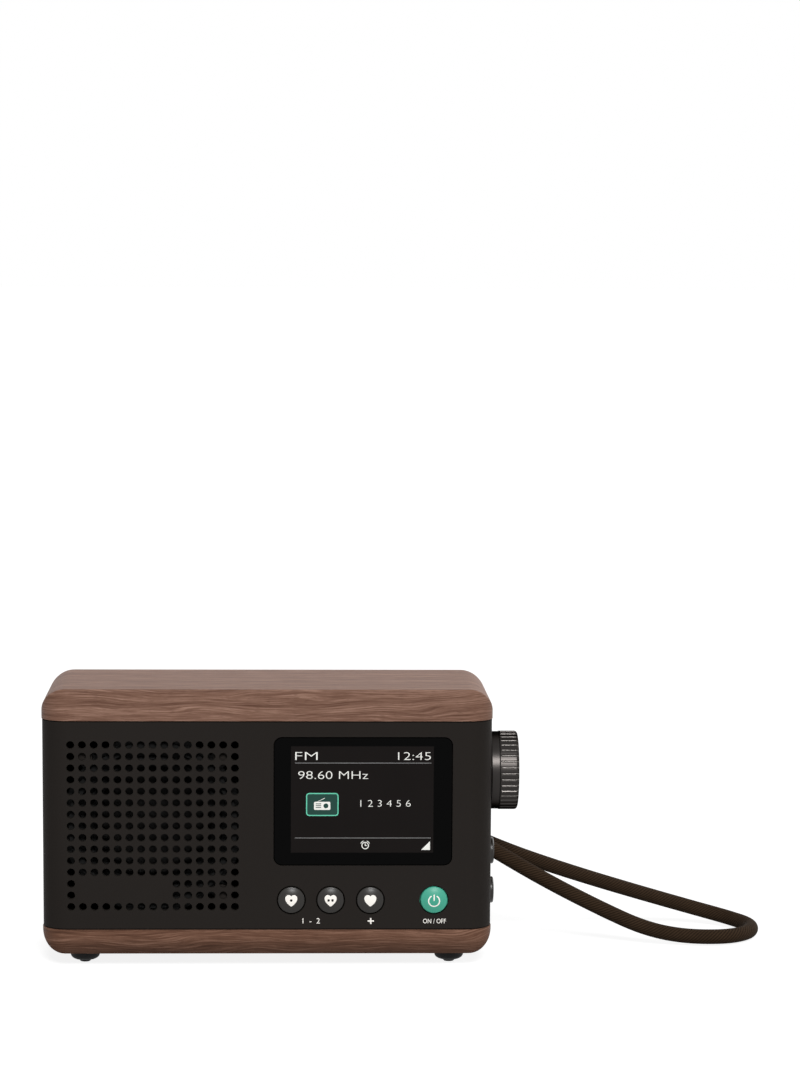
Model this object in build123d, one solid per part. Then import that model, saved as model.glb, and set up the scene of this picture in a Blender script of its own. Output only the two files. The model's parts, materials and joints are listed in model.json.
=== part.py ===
from build123d import *
import os
from math import cos, pi, radians, sin, tan

# Tabletop radio with walnut top and bottom panels, a moulded cabinet, a round-hole grille and a rope strap.
# Lengths are in millimetres: x to the right, y to the back, z up. While modelling, the front wall's outer
# face is y = 0, the cabinet's middle is x = 0 and the table is z = 0; the last section moves the origin.

# ---- Cabinet
body_width = 182.0          # moulded cabinet, over its sides
body_depth = 64.5
body_height = 85.3
corner_radius = 10.6        # upright edges, seen from above
wall = 2.4
rear_depth = 8.3            # how far the rear cover reaches forward to the parting line
tongue_depth = 2.0          # the rear cover's tongue inside the front cabinet
tongue_wall = 1.2
seam = 0.5                  # shadow line along the wood
fit = 0.15                  # clearance between pieces that fit together
wood_proud = 0.25           # the wood stands proud of the cabinet all round
top_thickness = 12.8
bottom_thickness = 9.7
end_radius = 10.2           # rounding of the wood's two ends, seen from the front
bottom_end_radius = 9.4
wood_edge = 0.9             # fillet along the front and back edges

# ---- Feet
foot_height = 5.4
foot_radius = 6.2
foot_rim = 1.0
nub_radius = 2.2
nub_height = 0.85
foot_stem_radius = 2.0
foot_stem_length = 5.0
foot_from_middle = 74.2
foot_from_front = 11.5

# ---- Screws: cabinet screws and board screws
screw_radius = 1.4
screw_head_radius = 2.7
screw_head_height = 1.9
small_screw_radius = 0.95
small_head_radius = 1.8
small_head_height = 1.3
thread_gap = 0.05           # between a screw and its hole
panel_screw_length = 10.0
rear_screw_length = 14.0
rear_screw_from_middle = 76.0
rear_boss_radius = 3.7
rear_boss_length = 24.0
panel_screw_x = 60.0
panel_screw_insets = (13.0, 9.2)    # from the front face and from the parting line

# ---- Grille
hole_count = 15             # rows and columns
hole_pitch = 4.72
hole_radius = 1.6
grille_x = -46.1
grille_z = 57.6
bare_rows = (1, 2)          # rows above the lowest one that skip the bare patch
bare_columns = range(1, 9)

# ---- Display
lens_width = 72.0
lens_height = 52.2
lens_radius = 3.3
lens_thickness = 1.5
lens_recess = 0.1
lens_x = 38.6
lens_z = 67.7
screen_width = 57.6         # lit area of the 2.8 inch panel
screen_height = 43.2
panel_border = (11.6, 6.8)  # what the panel adds to the lit area's width and height
panel_thickness = 2.6
gasket_thickness = 0.8
holder_thickness = 1.6
holder_margin = 5.6

# ---- Front buttons and their board
button_radius = 5.5
button_hole_gap = 0.4
button_proud = 1.2
button_edge = 0.7
button_flange = 1.0         # how much wider the flange behind the wall is
flange_thickness = 1.0
button_z = 27.3
preset_xs = (9.7, 25.6, 41.7)
standby_x = 67.5
press_travel = 0.5          # travel of every button
press_gap = 0.55            # from a button's pin to its dome switch
pin_radius = 1.5
board_thickness = 1.6
key_board_y = 9.0
switch_size = 6.2
switch_height = 2.4
well_radius = 1.9
well_depth = 1.6

# ---- Side buttons, encoder and knob
side_from_port = 14.8       # from the strap's port forward to the knob's axis
knob_z = 75.6
side_button_zs = (41.9, 25.4)
side_button_proud = 2.8
side_board_gap = 6.4        # from the side wall to the side board
knob_radius = 16.2
knob_skirt_radius = 16.0
knob_skirt_length = 3.5        # plain part beside the cabinet
knob_length = 11.3
knob_gap = 0.6              # from the cabinet to the knob's skirt
knob_edge = 1.5
knob_face = 3.0
knob_inner_radius = 13.2
knob_hub_radius = 5.5
groove_count = 40
groove_width = 0.6
groove_phase = 1.0             # degrees
groove_depth = 0.45
groove_length = 7.5
bushing_radius = 3.5
bushing_length = 4.3        # outside the wall
shaft_radius = 3.0
shaft_flat = 1.5            # depth of the flat on the shaft
running_gap = 0.05
nut_width = 10.0
nut_thickness = 2.0
washer_thickness = 0.5
encoder_size = 12.4

# ---- Speaker, measured back from its flange
flange_back = 2.2           # foam gasket between the front wall and the flange
flange_outer = 36.5
basket_lip = 30.6
basket_inner = 28.4
shelf_outer = 19.2
shelf_inner = 16.4
basket_deep = 13.6
basket_skin = 1.4
speaker_ear = 39.0          # screw circle radius
lug_radius = 3.4
lug_root = 24.5             # where an ear's lug starts, along each axis
window_bar = 12.0           # width of the basket's spokes
cone_radius = 25.4
coil_radius = 9.5
cap_sphere = 22.9            # radius of the dust cap's dome
coil_travel = 1.5
magnet_radius = 21.5
magnet_thickness = 7.0
front_plate_thickness = 3.4
yoke_thickness = 3.0
pole_radius = 8.5

# ---- Main board, sockets and battery
main_board_lift = 3.4
main_board_x = (1.5, 70.5)
main_board_front = 16.0
main_board_gap = 0.5        # from the board's back edge to the back wall
board_hole_inset = (6.0, 11.6)
jack_x = 20.0
jack_bore_radius = 1.8
jack_bore_length = 14.5
jack_nose_radius = 3.8
jack_lift = 3.9             # bore's height over the board
usb_x = 44.0
usb_width = 8.94
usb_height = 3.26
usb_wall = 0.3
battery_x = (-22.0, 62.0)
battery_z = (37.5, 77.5)
battery_depth = 24.0
tail_y = 4.0                   # from the bay's floor to the contacts' tails
contact_spacing = 11.0
bay_wall = 1.6
door_margin = 6.0
door_thickness = 2.0
door_pad = 2.2

# ---- Antenna on the back
antenna_x = 70.0
antenna_z = 86.0
antenna_gap = 5.7           # from the rear cover to the middle of the folded rod
antenna_radii = (3.0, 2.5, 2.0, 1.5)
antenna_skin = 0.4
antenna_reach = -71.0       # open end of the outer section
antenna_step = 0.8          # each section shows this much at rest
antenna_travel = 112.0      # of each sliding section
antenna_eye = 2.9
hinge_pin_radius = 1.0
fork_gap = 1.95             # half the tongue's slot
fork_skin = 1.6
stud_radius = 3.0
stud_flange_radius = 5.2
stud_flange = 1.5
axle_radius = 1.8

# ---- Strap
rope_diameter = 6.2
port_from_parting = 8.9
port_z = 42.5
port_width = 13.7
port_height = 9.8              # the rope slopes down through it
port_corner = 3.2
grommet_skin = 0.8
grommet_flange = 0.7
grommet_lip = 0.8
clamp_wall = 1.6
lead_radius = 0.5
rope_end_x = 82.0

# ---- Places worked out from the sizes above
half_width = body_width / 2
body_low = foot_height + bottom_thickness
body_high = body_low + body_height
body_middle = (body_low + body_high) / 2
top_of_wood = body_high + top_thickness
floor_z = body_low + wall
ceiling_z = body_high - wall
parting_y = body_depth - rear_depth
back_wall_y = body_depth - wall
main_board_y = (main_board_front, back_wall_y - main_board_gap)
port_y = parting_y - port_from_parting
side_y = port_y - side_from_port
panel_screw_ys = (panel_screw_insets[0], parting_y - panel_screw_insets[1])
antenna_axis_y = body_depth + antenna_gap
panel_width = screen_width + panel_border[0]
panel_height = screen_height + panel_border[1]
side_wall_x = half_width - wall
key_switch_y = key_board_y - switch_height
side_board_x = side_wall_x - side_board_gap
main_board_z = floor_z + main_board_lift
board_top_z = main_board_z + board_thickness
knob_skirt_x = half_width + knob_gap
knob_outer_x = knob_skirt_x + knob_length
flange_y = wall + flange_back
rear_boss_z = (floor_z + rear_boss_radius - 0.3, ceiling_z - rear_boss_radius + 0.3)
rear_boss_places = [(x, z) for x in (-rear_screw_from_middle, rear_screw_from_middle) for z in rear_boss_z]
foot_places = [
    (x, y)
    for x in (-foot_from_middle, foot_from_middle)
    for y in (foot_from_front, body_depth - foot_from_front)
]
panel_screw_places = [(x, y) for x in (-panel_screw_x, panel_screw_x) for y in panel_screw_ys]
screw_hole = screw_radius + thread_gap
small_hole = small_screw_radius + thread_gap


# ---- Small tools
def to_back(y, sketch, length):
    """Extrude a sketch drawn in x and z from y towards the back."""
    return extrude(Plane.XZ.offset(-y) * sketch, -length)


def to_right(x, sketch, length):
    """Extrude a sketch drawn in y and z from x to the right."""
    return extrude(Plane.YZ.offset(x) * sketch, length)


def upwards(z, sketch, height):
    """Extrude a sketch drawn in x and y from z up."""
    return extrude(Plane.XY.offset(z) * sketch, height)


def block(xs, ys, zs):
    """Box between two values of x, y and z."""
    sketch = Pos((xs[0] + xs[1]) / 2, (ys[0] + ys[1]) / 2) * Rectangle(xs[1] - xs[0], ys[1] - ys[0])
    return upwards(zs[0], sketch, zs[1] - zs[0])


def turned(points, axis):
    """Turn a closed outline about an axis: points are (radius, y) for y, (x, radius) for x."""
    return revolve(make_face(Polyline(*points, close=True)), axis)


def turned_z(points):
    """Turn a closed outline of (radius, z) points about the z axis."""
    return revolve(Plane.XZ * make_face(Polyline(*points, close=True)), Axis.Z)


def plan_block(inset, low, high):
    """Slab with the cabinet's outline seen from above, inset all round."""
    outline = RectangleRounded(body_width - 2 * inset, body_depth - 2 * inset, corner_radius - inset)
    return upwards(low, Pos(0, body_depth / 2) * outline, high - low)


def plan_slice(inset, low, high, front, back):
    """The part of a plan_block between two values of y."""
    return plan_block(inset, low, high) & block((-body_width, body_width), (front, back), (low, high))


def screw(radius, head_radius, head_height, length):
    """Pan head screw: its seat is z = 0, its shank points down and its head has a cross recess."""
    head = Pos(0, 0, head_height / 2) * Cylinder(head_radius, head_height)
    head = chamfer(head.edges().group_by(Axis.Z)[-1], head_height * 0.3)
    shank = Pos(0, 0, -length / 2) * Cylinder(radius, length)
    slot = Pos(0, 0, head_height) * Box(head_radius * 1.2, head_radius * 0.28, head_height)
    return head + shank - slot - Rot(0, 0, 90) * slot


def cabinet_screw(length):
    return screw(screw_radius, screw_head_radius, screw_head_height, length)


def board_screw(length):
    return screw(small_screw_radius, small_head_radius, small_head_height, length)


# ---- Wood panels and feet
def wood_panel(low, high, radius, round_top, edge):
    """Slab whose plan corners and end profile are both rounded, with softened long edges."""
    width = body_width + 2 * wood_proud
    slab = plan_block(-wood_proud, low, high)
    profile = Pos(0, (low + high) / 2) * Rectangle(width, high - low)
    level = high if round_top else low
    corners = [v for v in profile.vertices() if abs(v.Y - level) < 0.01]
    profile = fillet(corners, radius)
    panel = slab & to_back(-1, profile, body_depth + 2)
    if not edge:
        return panel
    edges = [e for e in panel.edges().filter_by(Axis.X) if abs(e.center().Z - level) < 0.01]
    return fillet(edges, edge)


def top_panel():
    panel = wood_panel(body_high, top_of_wood, end_radius, True, wood_edge)
    depth = panel_screw_length - wall + 0.5
    return panel - [Pos(x, y) * upwards(body_high, Circle(screw_hole), depth) for x, y in panel_screw_places]


def bottom_panel():
    panel = wood_panel(foot_height, body_low, bottom_end_radius, False, 0)
    depth = panel_screw_length - wall + 0.5
    holes = [Pos(x, y) * upwards(body_low - depth, Circle(screw_hole), depth) for x, y in panel_screw_places]
    stem = upwards(foot_height, Circle(foot_stem_radius + thread_gap), foot_stem_length + 0.2)
    return panel - holes - [Pos(x, y) * stem for x, y in foot_places]


def rubber_foot():
    """Domed foot with a flat nub below and a stem that is pressed into the wood."""
    dome_top = foot_height - foot_rim
    stem_end = foot_height + foot_stem_length
    outline = [(0, 0), (nub_radius, 0), (nub_radius, nub_height), (foot_radius - 2.2, 1.5)]
    outline += [(foot_radius - 0.7, 2.8), (foot_radius, dome_top), (foot_radius, foot_height)]
    outline += [(foot_stem_radius, foot_height), (foot_stem_radius, stem_end), (0, stem_end)]
    return turned_z(outline)


def feet():
    foot = rubber_foot()
    return [Pos(x, y) * foot for x, y in foot_places]


def panel_screws():
    """Wood screws from inside the cabinet, four up into the top and four down into the bottom."""
    one = cabinet_screw(panel_screw_length)
    upper = [Pos(x, y, ceiling_z) * Rot(180, 0, 0) * one for x, y in panel_screw_places]
    lower = [Pos(x, y, floor_z) * one for x, y in panel_screw_places]
    return upper + lower


# ---- Front cabinet
def grille_places():
    """Middles of the grille's holes, without the bare patch near the lower left."""
    first = -(hole_count - 1) / 2
    places = []
    for row in range(hole_count):
        for column in range(hole_count):
            if row in bare_rows and column in bare_columns:
                continue
            x = grille_x + (first + column) * hole_pitch
            z = grille_z + (first + row) * hole_pitch
            places.append((x, z))
    return places


def seam_cuts(front, back):
    """Thin steps round the cabinet's upper and lower rims that draw a shadow line at the wood."""
    cuts = []
    for low in (body_low, body_high - seam):
        ring = plan_slice(-1, low, low + seam, front - 1, back)
        cuts.append(ring - plan_block(seam, low, low + seam))
    return cuts


speaker_ears = [
    (grille_x + speaker_ear * cos(radians(angle)), grille_z + speaker_ear * sin(radians(angle)))
    for angle in (45, 135, 225, 315)
]
holder_places = [
    (lens_x + side * (panel_width / 2 + holder_margin / 2), lens_z + up * panel_height * 0.4)
    for side in (-1, 1)
    for up in (-1, 1)
]
key_board_places = [(17.65, button_z + 7.0), (54.6, button_z + 7.0), (54.6, button_z - 5.0)]
key_board_z = (floor_z + 2.3, button_z + 9.6)
side_board_places = [(side_y - 10.5, z) for z in (knob_z + 10.0, 33.6, 58.0)]
board_hole_ys = (main_board_y[0] + board_hole_inset[0], main_board_y[1] - board_hole_inset[1])
main_board_places = [(x, y) for x in (main_board_x[0] + 4, main_board_x[1] - 4) for y in board_hole_ys]
button_xs = (*preset_xs, standby_x)
holder_y = wall + gasket_thickness + 0.1 + panel_thickness + 0.1


def front_bosses():
    """Bosses with blind screw holes inside the front wall: speaker, display holder and key board."""
    bosses = []
    for places, radius, end in (
        (speaker_ears, 3.2, flange_y),
        (holder_places, 2.4, holder_y),
        (key_board_places, 2.3, key_board_y),
    ):
        boss = to_back(wall - 0.2, Circle(radius), end - wall + 0.2)
        boss -= to_back(wall + 0.05, Circle(small_hole), end - wall)
        bosses += [Pos(x, 0, z) * boss for x, z in places]
    return bosses


def cabinet_bosses():
    """Columns for the rear screws, posts for the main board and posts for the side board."""
    column = Circle(rear_boss_radius) - Circle(screw_hole)
    start = parting_y - rear_boss_length
    bosses = [to_back(start, Pos(x, z) * column, rear_boss_length - 0.1) for x, z in rear_boss_places]
    post = Circle(2.6) - Circle(small_hole)
    for x, y in main_board_places:
        bosses.append(upwards(floor_z - 0.2, Pos(x, y) * post, main_board_lift + 0.2))
    for y, z in side_board_places:
        reach = side_board_gap + 0.2 - board_thickness
        bosses.append(to_right(side_board_x + board_thickness, Pos(y, z) * post, reach))
    return bosses


def port_slot(growth):
    """Outline of the strap's port, grown all round."""
    width, height = port_width + 2 * growth, port_height + 2 * growth
    return Pos(port_y, port_z) * RectangleRounded(width, height, port_corner + growth)


def front_cabinet():
    """Front, sides and decks in one moulding, open to the back."""
    shell = plan_slice(0, body_low, body_high, 0, parting_y)
    shell -= plan_slice(wall, floor_z, ceiling_z, 0, parting_y + 1)
    lens_pocket = RectangleRounded(lens_width + 2 * fit, lens_height + 2 * fit, lens_radius + fit)
    window = RectangleRounded(screen_width + 4, screen_height + 4, 1.5)
    through = wall + 2
    cuts = [
        to_back(-1, Pos(lens_x, lens_z) * lens_pocket, 1 + lens_recess + lens_thickness),
        to_back(-1, Pos(lens_x, lens_z) * window, through),
        to_right(side_wall_x - 1, Pos(side_y, knob_z) * Circle(bushing_radius + 0.1), through),
        to_right(side_wall_x - 1, port_slot(grommet_skin + 0.05), through),
    ]
    button_hole = Circle(button_radius + button_hole_gap)
    cuts += [to_back(-1, Pos(x, button_z) * button_hole, through) for x in button_xs]
    cuts += [to_right(side_wall_x - 1, Pos(side_y, z) * button_hole, through) for z in side_button_zs]
    for x, y in panel_screw_places:
        hole = Pos(x, y) * Circle(screw_radius + 0.3)
        cuts += [upwards(body_low - 1, hole, through), upwards(ceiling_z - 1, hole, through)]
    shell = shell - cuts - seam_cuts(0, parting_y + 1)
    hole = to_back(-1, Circle(hole_radius), through)
    shell -= [Pos(x, 0, z) * hole for x, z in grille_places()]
    return shell + front_bosses() + cabinet_bosses()


# ---- Rear cover, battery bay and door
def bay_sketch(growth):
    """Outline of the battery bay in x and z, grown all round."""
    width = battery_x[1] - battery_x[0] + 2 * growth
    height = battery_z[1] - battery_z[0] + 2 * growth
    middle = Pos((battery_x[0] + battery_x[1]) / 2, (battery_z[0] + battery_z[1]) / 2)
    return middle * RectangleRounded(width, height, 2.0 + growth)


door_screw_place = ((battery_x[0] + battery_x[1]) / 2, battery_z[0] - door_margin / 2)
door_back_y = body_depth - 0.1
door_front_y = door_back_y - door_thickness
bay_floor_y = body_depth - battery_depth
tail_end_x = battery_x[1] + bay_wall + 1.6
contact_zs = [sum(battery_z) / 2 + i * contact_spacing for i in (-1, 0, 1)]
jack_z = board_top_z + jack_lift
usb_z = board_top_z + usb_height / 2


def rear_cover():
    """Tray with a tongue that slips into the front cabinet, posts for its screws and a battery bay."""
    cover = plan_slice(0, body_low, body_high, parting_y, body_depth)
    cover -= plan_slice(wall, floor_z, ceiling_z, parting_y - 1, back_wall_y)
    inside = wall + fit
    tongue = plan_slice(inside, floor_z + fit, ceiling_z - fit, parting_y - tongue_depth, parting_y + 1)
    inner = inside + tongue_wall
    low, high = floor_z + fit + tongue_wall, ceiling_z - fit - tongue_wall
    tongue -= plan_slice(inner, low, high, parting_y - tongue_depth - 1, back_wall_y)
    notch = to_back(parting_y - tongue_depth - 1, Circle(rear_boss_radius + fit), tongue_depth + 1)
    tongue -= [Pos(x, 0, z) * notch for x, z in rear_boss_places]
    tongue -= block((side_wall_x - 10, half_width), (0, parting_y), (port_z - 6, port_z + 11.5))
    bridge = plan_slice(wall - 0.3, floor_z - 0.3, ceiling_z + 0.3, parting_y, parting_y + 1.5)
    bridge -= plan_slice(inner, low, high, parting_y - 1, back_wall_y)
    post = to_back(parting_y, Circle(rear_boss_radius), rear_depth)
    pad = to_back(back_wall_y - door_pad, bay_sketch(door_margin + 1.0), door_pad + 0.2)
    bay = to_back(bay_floor_y - bay_wall, bay_sketch(bay_wall), battery_depth + bay_wall - 1)
    door_boss = to_back(back_wall_y - 7, Pos(*door_screw_place) * Circle(3.0), 8)
    aerial_boss = to_back(back_wall_y - 1.6, Pos(antenna_x, antenna_z) * Circle(5.0), 2)
    cover = cover + tongue + bridge + [Pos(x, 0, z) * post for x, z in rear_boss_places]
    cover = cover + pad + bay + door_boss + aerial_boss
    head_room = to_back(back_wall_y, Circle(screw_head_radius + 0.3), wall + 1)
    through = to_back(parting_y - 1, Circle(screw_radius + 0.2), rear_depth + 2)
    cuts = [Pos(x, 0, z) * tool for x, z in rear_boss_places for tool in (head_room, through)]
    usb_slot = SlotOverall(usb_width + 0.4, usb_height + 0.4)
    wall_x = (battery_x[1] - 0.5, battery_x[1] + bay_wall + 0.5)
    tail_ys = (bay_floor_y + tail_y - 0.7, bay_floor_y + tail_y + 0.7)
    cuts += [
        to_back(bay_floor_y, bay_sketch(0), battery_depth + 1),
        to_back(door_front_y, bay_sketch(door_margin), door_thickness + 1),
        to_back(back_wall_y - 6, Pos(*door_screw_place) * Circle(screw_hole), 8),
        to_back(back_wall_y - 3, Pos(antenna_x, antenna_z) * Circle(stud_radius + 0.1), wall + 4),
        to_back(back_wall_y - 2, Pos(jack_x, jack_z) * Circle(jack_nose_radius + 0.15), wall + 3),
        to_back(back_wall_y - 2, Pos(usb_x, usb_z) * usb_slot, wall + 3),
    ]
    cuts += [block(wall_x, tail_ys, (z - 1.35, z + 1.35)) for z in contact_zs]
    return cover - cuts - seam_cuts(parting_y - 1, body_depth + 2)


def battery_door():
    """Flush door with finger ridges, held by one screw at its lower edge."""
    door = to_back(door_front_y, bay_sketch(door_margin - fit), door_thickness)
    x, z = door_screw_place
    door -= to_back(door_front_y - 1, Pos(x, z) * Circle(screw_radius + 0.2), door_thickness + 2)
    groove = to_back(door_back_y - 0.5, SlotOverall(24, 1.4), 1)
    return door - [Pos(x, 0, battery_z[1] - 2.6 * i) * groove for i in range(4)]


def rear_screws():
    """Four cover screws and the battery door's screw, all from the back."""
    one = Rot(-90, 0, 0) * cabinet_screw(rear_screw_length)
    screws = [Pos(x, back_wall_y, z) * one for x, z in rear_boss_places]
    x, z = door_screw_place
    return screws + [Pos(x, door_back_y, z) * Rot(-90, 0, 0) * cabinet_screw(7.0)]


def battery_pack():
    """Two flat cells in one rounded sleeve."""
    width = battery_x[1] - battery_x[0] - 8
    height = battery_z[1] - battery_z[0] - 2
    middle = Pos(battery_x[0] + 1 + width / 2, (battery_z[0] + battery_z[1]) / 2)
    depth = door_front_y - bay_floor_y - 0.4
    pack = to_back(bay_floor_y + 0.1, middle * RectangleRounded(width, height, 4), depth)
    pack = chamfer(pack.edges().filter_by(GeomType.LINE).filter_by(Axis.X), 0.8)
    return pack


def battery_contacts():
    """Three leaf contacts between the pack's end and the bay's end wall, with tails through the wall."""
    right = battery_x[1] - 0.05
    y = bay_floor_y
    spring = 0.4
    outline = [(right, y + 3), (right, y + 17), (right - spring, y + 17), (right - 5.6, y + 11)]
    outline += [(right - 5.6, y + 9), (right - 0.9, y + 4), (right - spring, y + 3)]
    hollow = [(right - spring, y + 5.2), (right - spring, y + 16.2), (right - 5.1, y + 10.8), (right - 5.1, y + 9.2)]
    blade = make_face(Polyline(*outline, close=True)) - make_face(Polyline(*hollow, close=True))
    tail = block((right - 0.3, tail_end_x), (y + tail_y - 0.6, y + tail_y + 0.6), (-1.25, 1.25))
    return [upwards(z - 2.5, blade, 5) + Pos(0, 0, z) * tail for z in contact_zs]


# ---- Speaker
def at_speaker(shape):
    """Move a part that was turned about the y axis to its place behind the grille."""
    return Pos(grille_x, flange_y, grille_z) * shape


def speaker_gasket():
    ring = to_back(wall, Circle(speaker_ear - 5.0) - Circle(basket_lip + 0.4), flange_back)
    return Pos(grille_x, 0, grille_z) * ring


def speaker_basket():
    """Pressed basket: a flange with four ears, four windows and a flat shelf for the magnet."""
    depth = basket_deep
    lug_inner = basket_lip + 1.2
    skirt = shelf_outer + basket_skin
    shelf = depth - basket_skin - 2.0
    top = depth - basket_skin
    outline = [(flange_outer, 0), (flange_outer, basket_skin), (lug_inner, basket_skin), (skirt, shelf + 0.4)]
    outline += [(skirt, depth), (12.5, depth), (12.5, top), (shelf_inner, top), (shelf_inner, shelf)]
    outline += [(shelf_outer, shelf), (basket_inner, 2.6), (basket_inner, 1.2), (basket_lip, 1.2)]
    outline += [(basket_lip, 0)]
    basket = turned(outline, Axis.Y)
    ear = speaker_ear * cos(pi / 4)
    reach = Circle(lug_radius)
    root = lug_root
    for sx in (-1, 1):
        for sz in (-1, 1):
            lug = make_hull((Pos(sx * ear, sz * ear) * reach).edges() + (Pos(sx * root, sz * root) * reach).edges())
            lug -= Circle(lug_inner)
            basket += to_back(0, lug, basket_skin)
            basket -= to_back(-1, Pos(sx * ear, sz * ear) * Circle(small_screw_radius + 0.2), basket_skin + 2)
    windows = Circle(basket_inner - 1.0) - Circle(shelf_outer + 2.6)
    for angle in (45, -45):
        windows -= Rot(0, 0, angle) * Rectangle(2 * speaker_ear + 2, window_bar)
    return at_speaker(basket - to_back(1.5, windows, depth))


def speaker_surround():
    """Half-roll of rubber between the cone's rim and the basket."""
    front = [(30.4, 0.7), (28.5, 0.7), (28.1, -0.5), (26.9, -0.9), (25.7, -0.5), (25.3, 0.7), (23.8, 0.7)]
    back = [(23.8, 1.2), (25.8, 1.2), (26.1, 0.0), (26.9, -0.3), (27.7, 0.0), (28.0, 1.2), (30.4, 1.2)]
    return at_speaker(turned(front + back, Axis.Y))


def speaker_cone():
    """Paper cone whose flank steepens towards the neck."""
    neck = coil_radius + 0.1
    front = [(cone_radius, 1.25), (23.6, 1.25), (16.2, 5.4), (neck, 8.3)]
    back = [(neck, 8.85), (16.5, 5.95), (23.8, 1.75), (cone_radius, 1.75)]
    return at_speaker(turned(front + back, Axis.Y))


def speaker_dust_cap():
    """Shallow spherical cap over the cone's neck."""
    dome = Pos(0, 4.9 + cap_sphere, 0) * (Sphere(cap_sphere) - Sphere(cap_sphere - 0.4))
    return at_speaker(dome & to_back(4.5, Circle(10.1), 3.4))


def speaker_voice_coil():
    """Thin former with its winding in the magnet's gap."""
    outline = [(9.05, 8), (coil_radius, 8), (coil_radius, 13.1), (coil_radius + 0.3, 13.1)]
    outline += [(coil_radius + 0.3, 17.5), (coil_radius, 17.5), (coil_radius, 18), (9.05, 18)]
    return at_speaker(turned(outline, Axis.Y))


def speaker_spider():
    """Corrugated cloth ring that centres the former; its rim lies on the basket's shelf."""
    inner = coil_radius + 0.05
    shelf = basket_deep - basket_skin - 2.0
    skin = 0.4
    front = [(shelf_outer - 0.2, shelf - skin), (shelf_inner, shelf - skin)]
    waves = [(shelf_inner - 1.6 * i, shelf - skin - (0.9 if i % 2 else 0.0)) for i in range(1, 4)]
    front += waves + [(inner, shelf - skin)]
    back = [(r, y + skin) for r, y in reversed(front)]
    return at_speaker(turned(front + back, Axis.Y))


plate_y = basket_deep
magnet_y = plate_y + front_plate_thickness
yoke_y = magnet_y + magnet_thickness


def ring(outer, inner, start, length):
    return at_speaker(to_back(start, Circle(outer) - Circle(inner), length))


def speaker_front_plate():
    return ring(magnet_radius - 2.5, coil_radius + 0.6, plate_y, front_plate_thickness)


def speaker_magnet():
    return ring(magnet_radius, coil_radius + 3.0, magnet_y, magnet_thickness)


def speaker_yoke():
    """Back plate and pole in one turned piece."""
    outline = [(0, plate_y + 0.4), (pole_radius, plate_y + 0.4), (pole_radius, yoke_y)]
    outline += [(magnet_radius - 1.5, yoke_y), (magnet_radius - 1.5, yoke_y + yoke_thickness)]
    outline += [(0, yoke_y + yoke_thickness)]
    return at_speaker(turned(outline, Axis.Y))


def speaker_screws():
    one = Rot(-90, 0, 0) * board_screw(basket_skin + flange_back - 0.3)
    return [Pos(x, flange_y + basket_skin, z) * one for x, z in speaker_ears]


# ---- Display
def display_lens():
    lens = Pos(lens_x, lens_z) * RectangleRounded(lens_width, lens_height, lens_radius)
    lens = to_back(lens_recess, lens, lens_thickness)
    return chamfer(lens.edges().group_by(Axis.Y)[0], 0.25)


def display_gasket():
    frame = Rectangle(screen_width + 8, screen_height + 6) - Rectangle(screen_width + 4, screen_height + 3)
    return to_back(wall, Pos(lens_x, lens_z) * frame, gasket_thickness)


panel_y = wall + gasket_thickness + 0.05


def display_module():
    """Glass panel on its metal tray."""
    glass = Rectangle(screen_width + 2.4, screen_height + 1.8)
    tray = RectangleRounded(panel_width, panel_height, 1.0)
    module = to_back(panel_y + 0.3, Pos(lens_x, lens_z) * tray, panel_thickness - 0.3)
    return module + to_back(panel_y, Pos(lens_x, lens_z) * glass, 0.4)


def display_holder():
    """Frame that clamps the module against its gasket, screwed to four bosses."""
    plate = RectangleRounded(panel_width + 2 * holder_margin, panel_height + 2, 2.5)
    plate -= Rectangle(panel_width - 18, panel_height - 16)
    holder = to_back(holder_y, Pos(lens_x, lens_z) * plate, holder_thickness)
    hole = to_back(holder_y - 1, Circle(small_screw_radius + 0.2), holder_thickness + 2)
    return holder - [Pos(x, 0, z) * hole for x, z in holder_places]


def display_ribbon():
    """Flat cable from the module's lower edge, over the key board, to the main board."""
    low = lens_z - panel_height / 2
    route = [(lens_x, 5.0, low), (lens_x, 5.0, low - 3.4), (lens_x, 13.5, low - 3.4)]
    route += [(lens_x, 13.5, board_top_z + 1.1), (lens_x, 20.0, board_top_z + 1.1)]
    path = FilletPolyline(*route, radius=1.6)
    section = Plane(origin=path @ 0, x_dir=(1, 0, 0), z_dir=path % 0) * Rectangle(20, 0.3)
    return sweep(section, path)


# ---- Keys
def key(proud, side, back, pin_end):
    """Round key along the y axis: crowned cap, flange behind the wall and pin to its switch.

    The wall's outer face is y = 0 and its inner face is at side; back is the flange's depth.
    """
    rim = button_radius - button_edge
    flange = button_radius + button_flange
    outline = [(0, -proud), (rim, -proud + 0.15), (button_radius - 0.2, -proud + 0.45)]
    outline += [(button_radius, -proud + 0.95), (button_radius, side + 0.1), (flange, side + 0.1)]
    outline += [(flange, back), (pin_radius, back), (pin_radius, pin_end), (0, pin_end)]
    return turned(outline, Axis.Y)


def front_key(x):
    pin_end = key_switch_y + well_depth - press_gap
    return Pos(x, 0, button_z) * key(button_proud, wall, wall + 0.1 + flange_thickness, pin_end)


def side_key(z):
    """The same key turned to face right."""
    well_bottom = side_board_x + board_thickness + switch_height - well_depth
    pin_end = half_width - well_bottom - press_gap
    shape = key(side_button_proud, wall, wall + 0.1 + flange_thickness, pin_end)
    return Pos(half_width, side_y, z) * Rot(0, 0, 90) * shape


def switch_body():
    """Square switch along the y axis, its front at y = 0, with a round well for the key's pin."""
    square = Rectangle(switch_size, switch_size) - Circle(well_radius)
    return to_back(0, square, well_depth) + to_back(well_depth, Rectangle(switch_size, switch_size), 0.8)


def key_switches():
    one = switch_body()
    return [Pos(x, key_switch_y, button_z) * one for x in button_xs]


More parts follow.
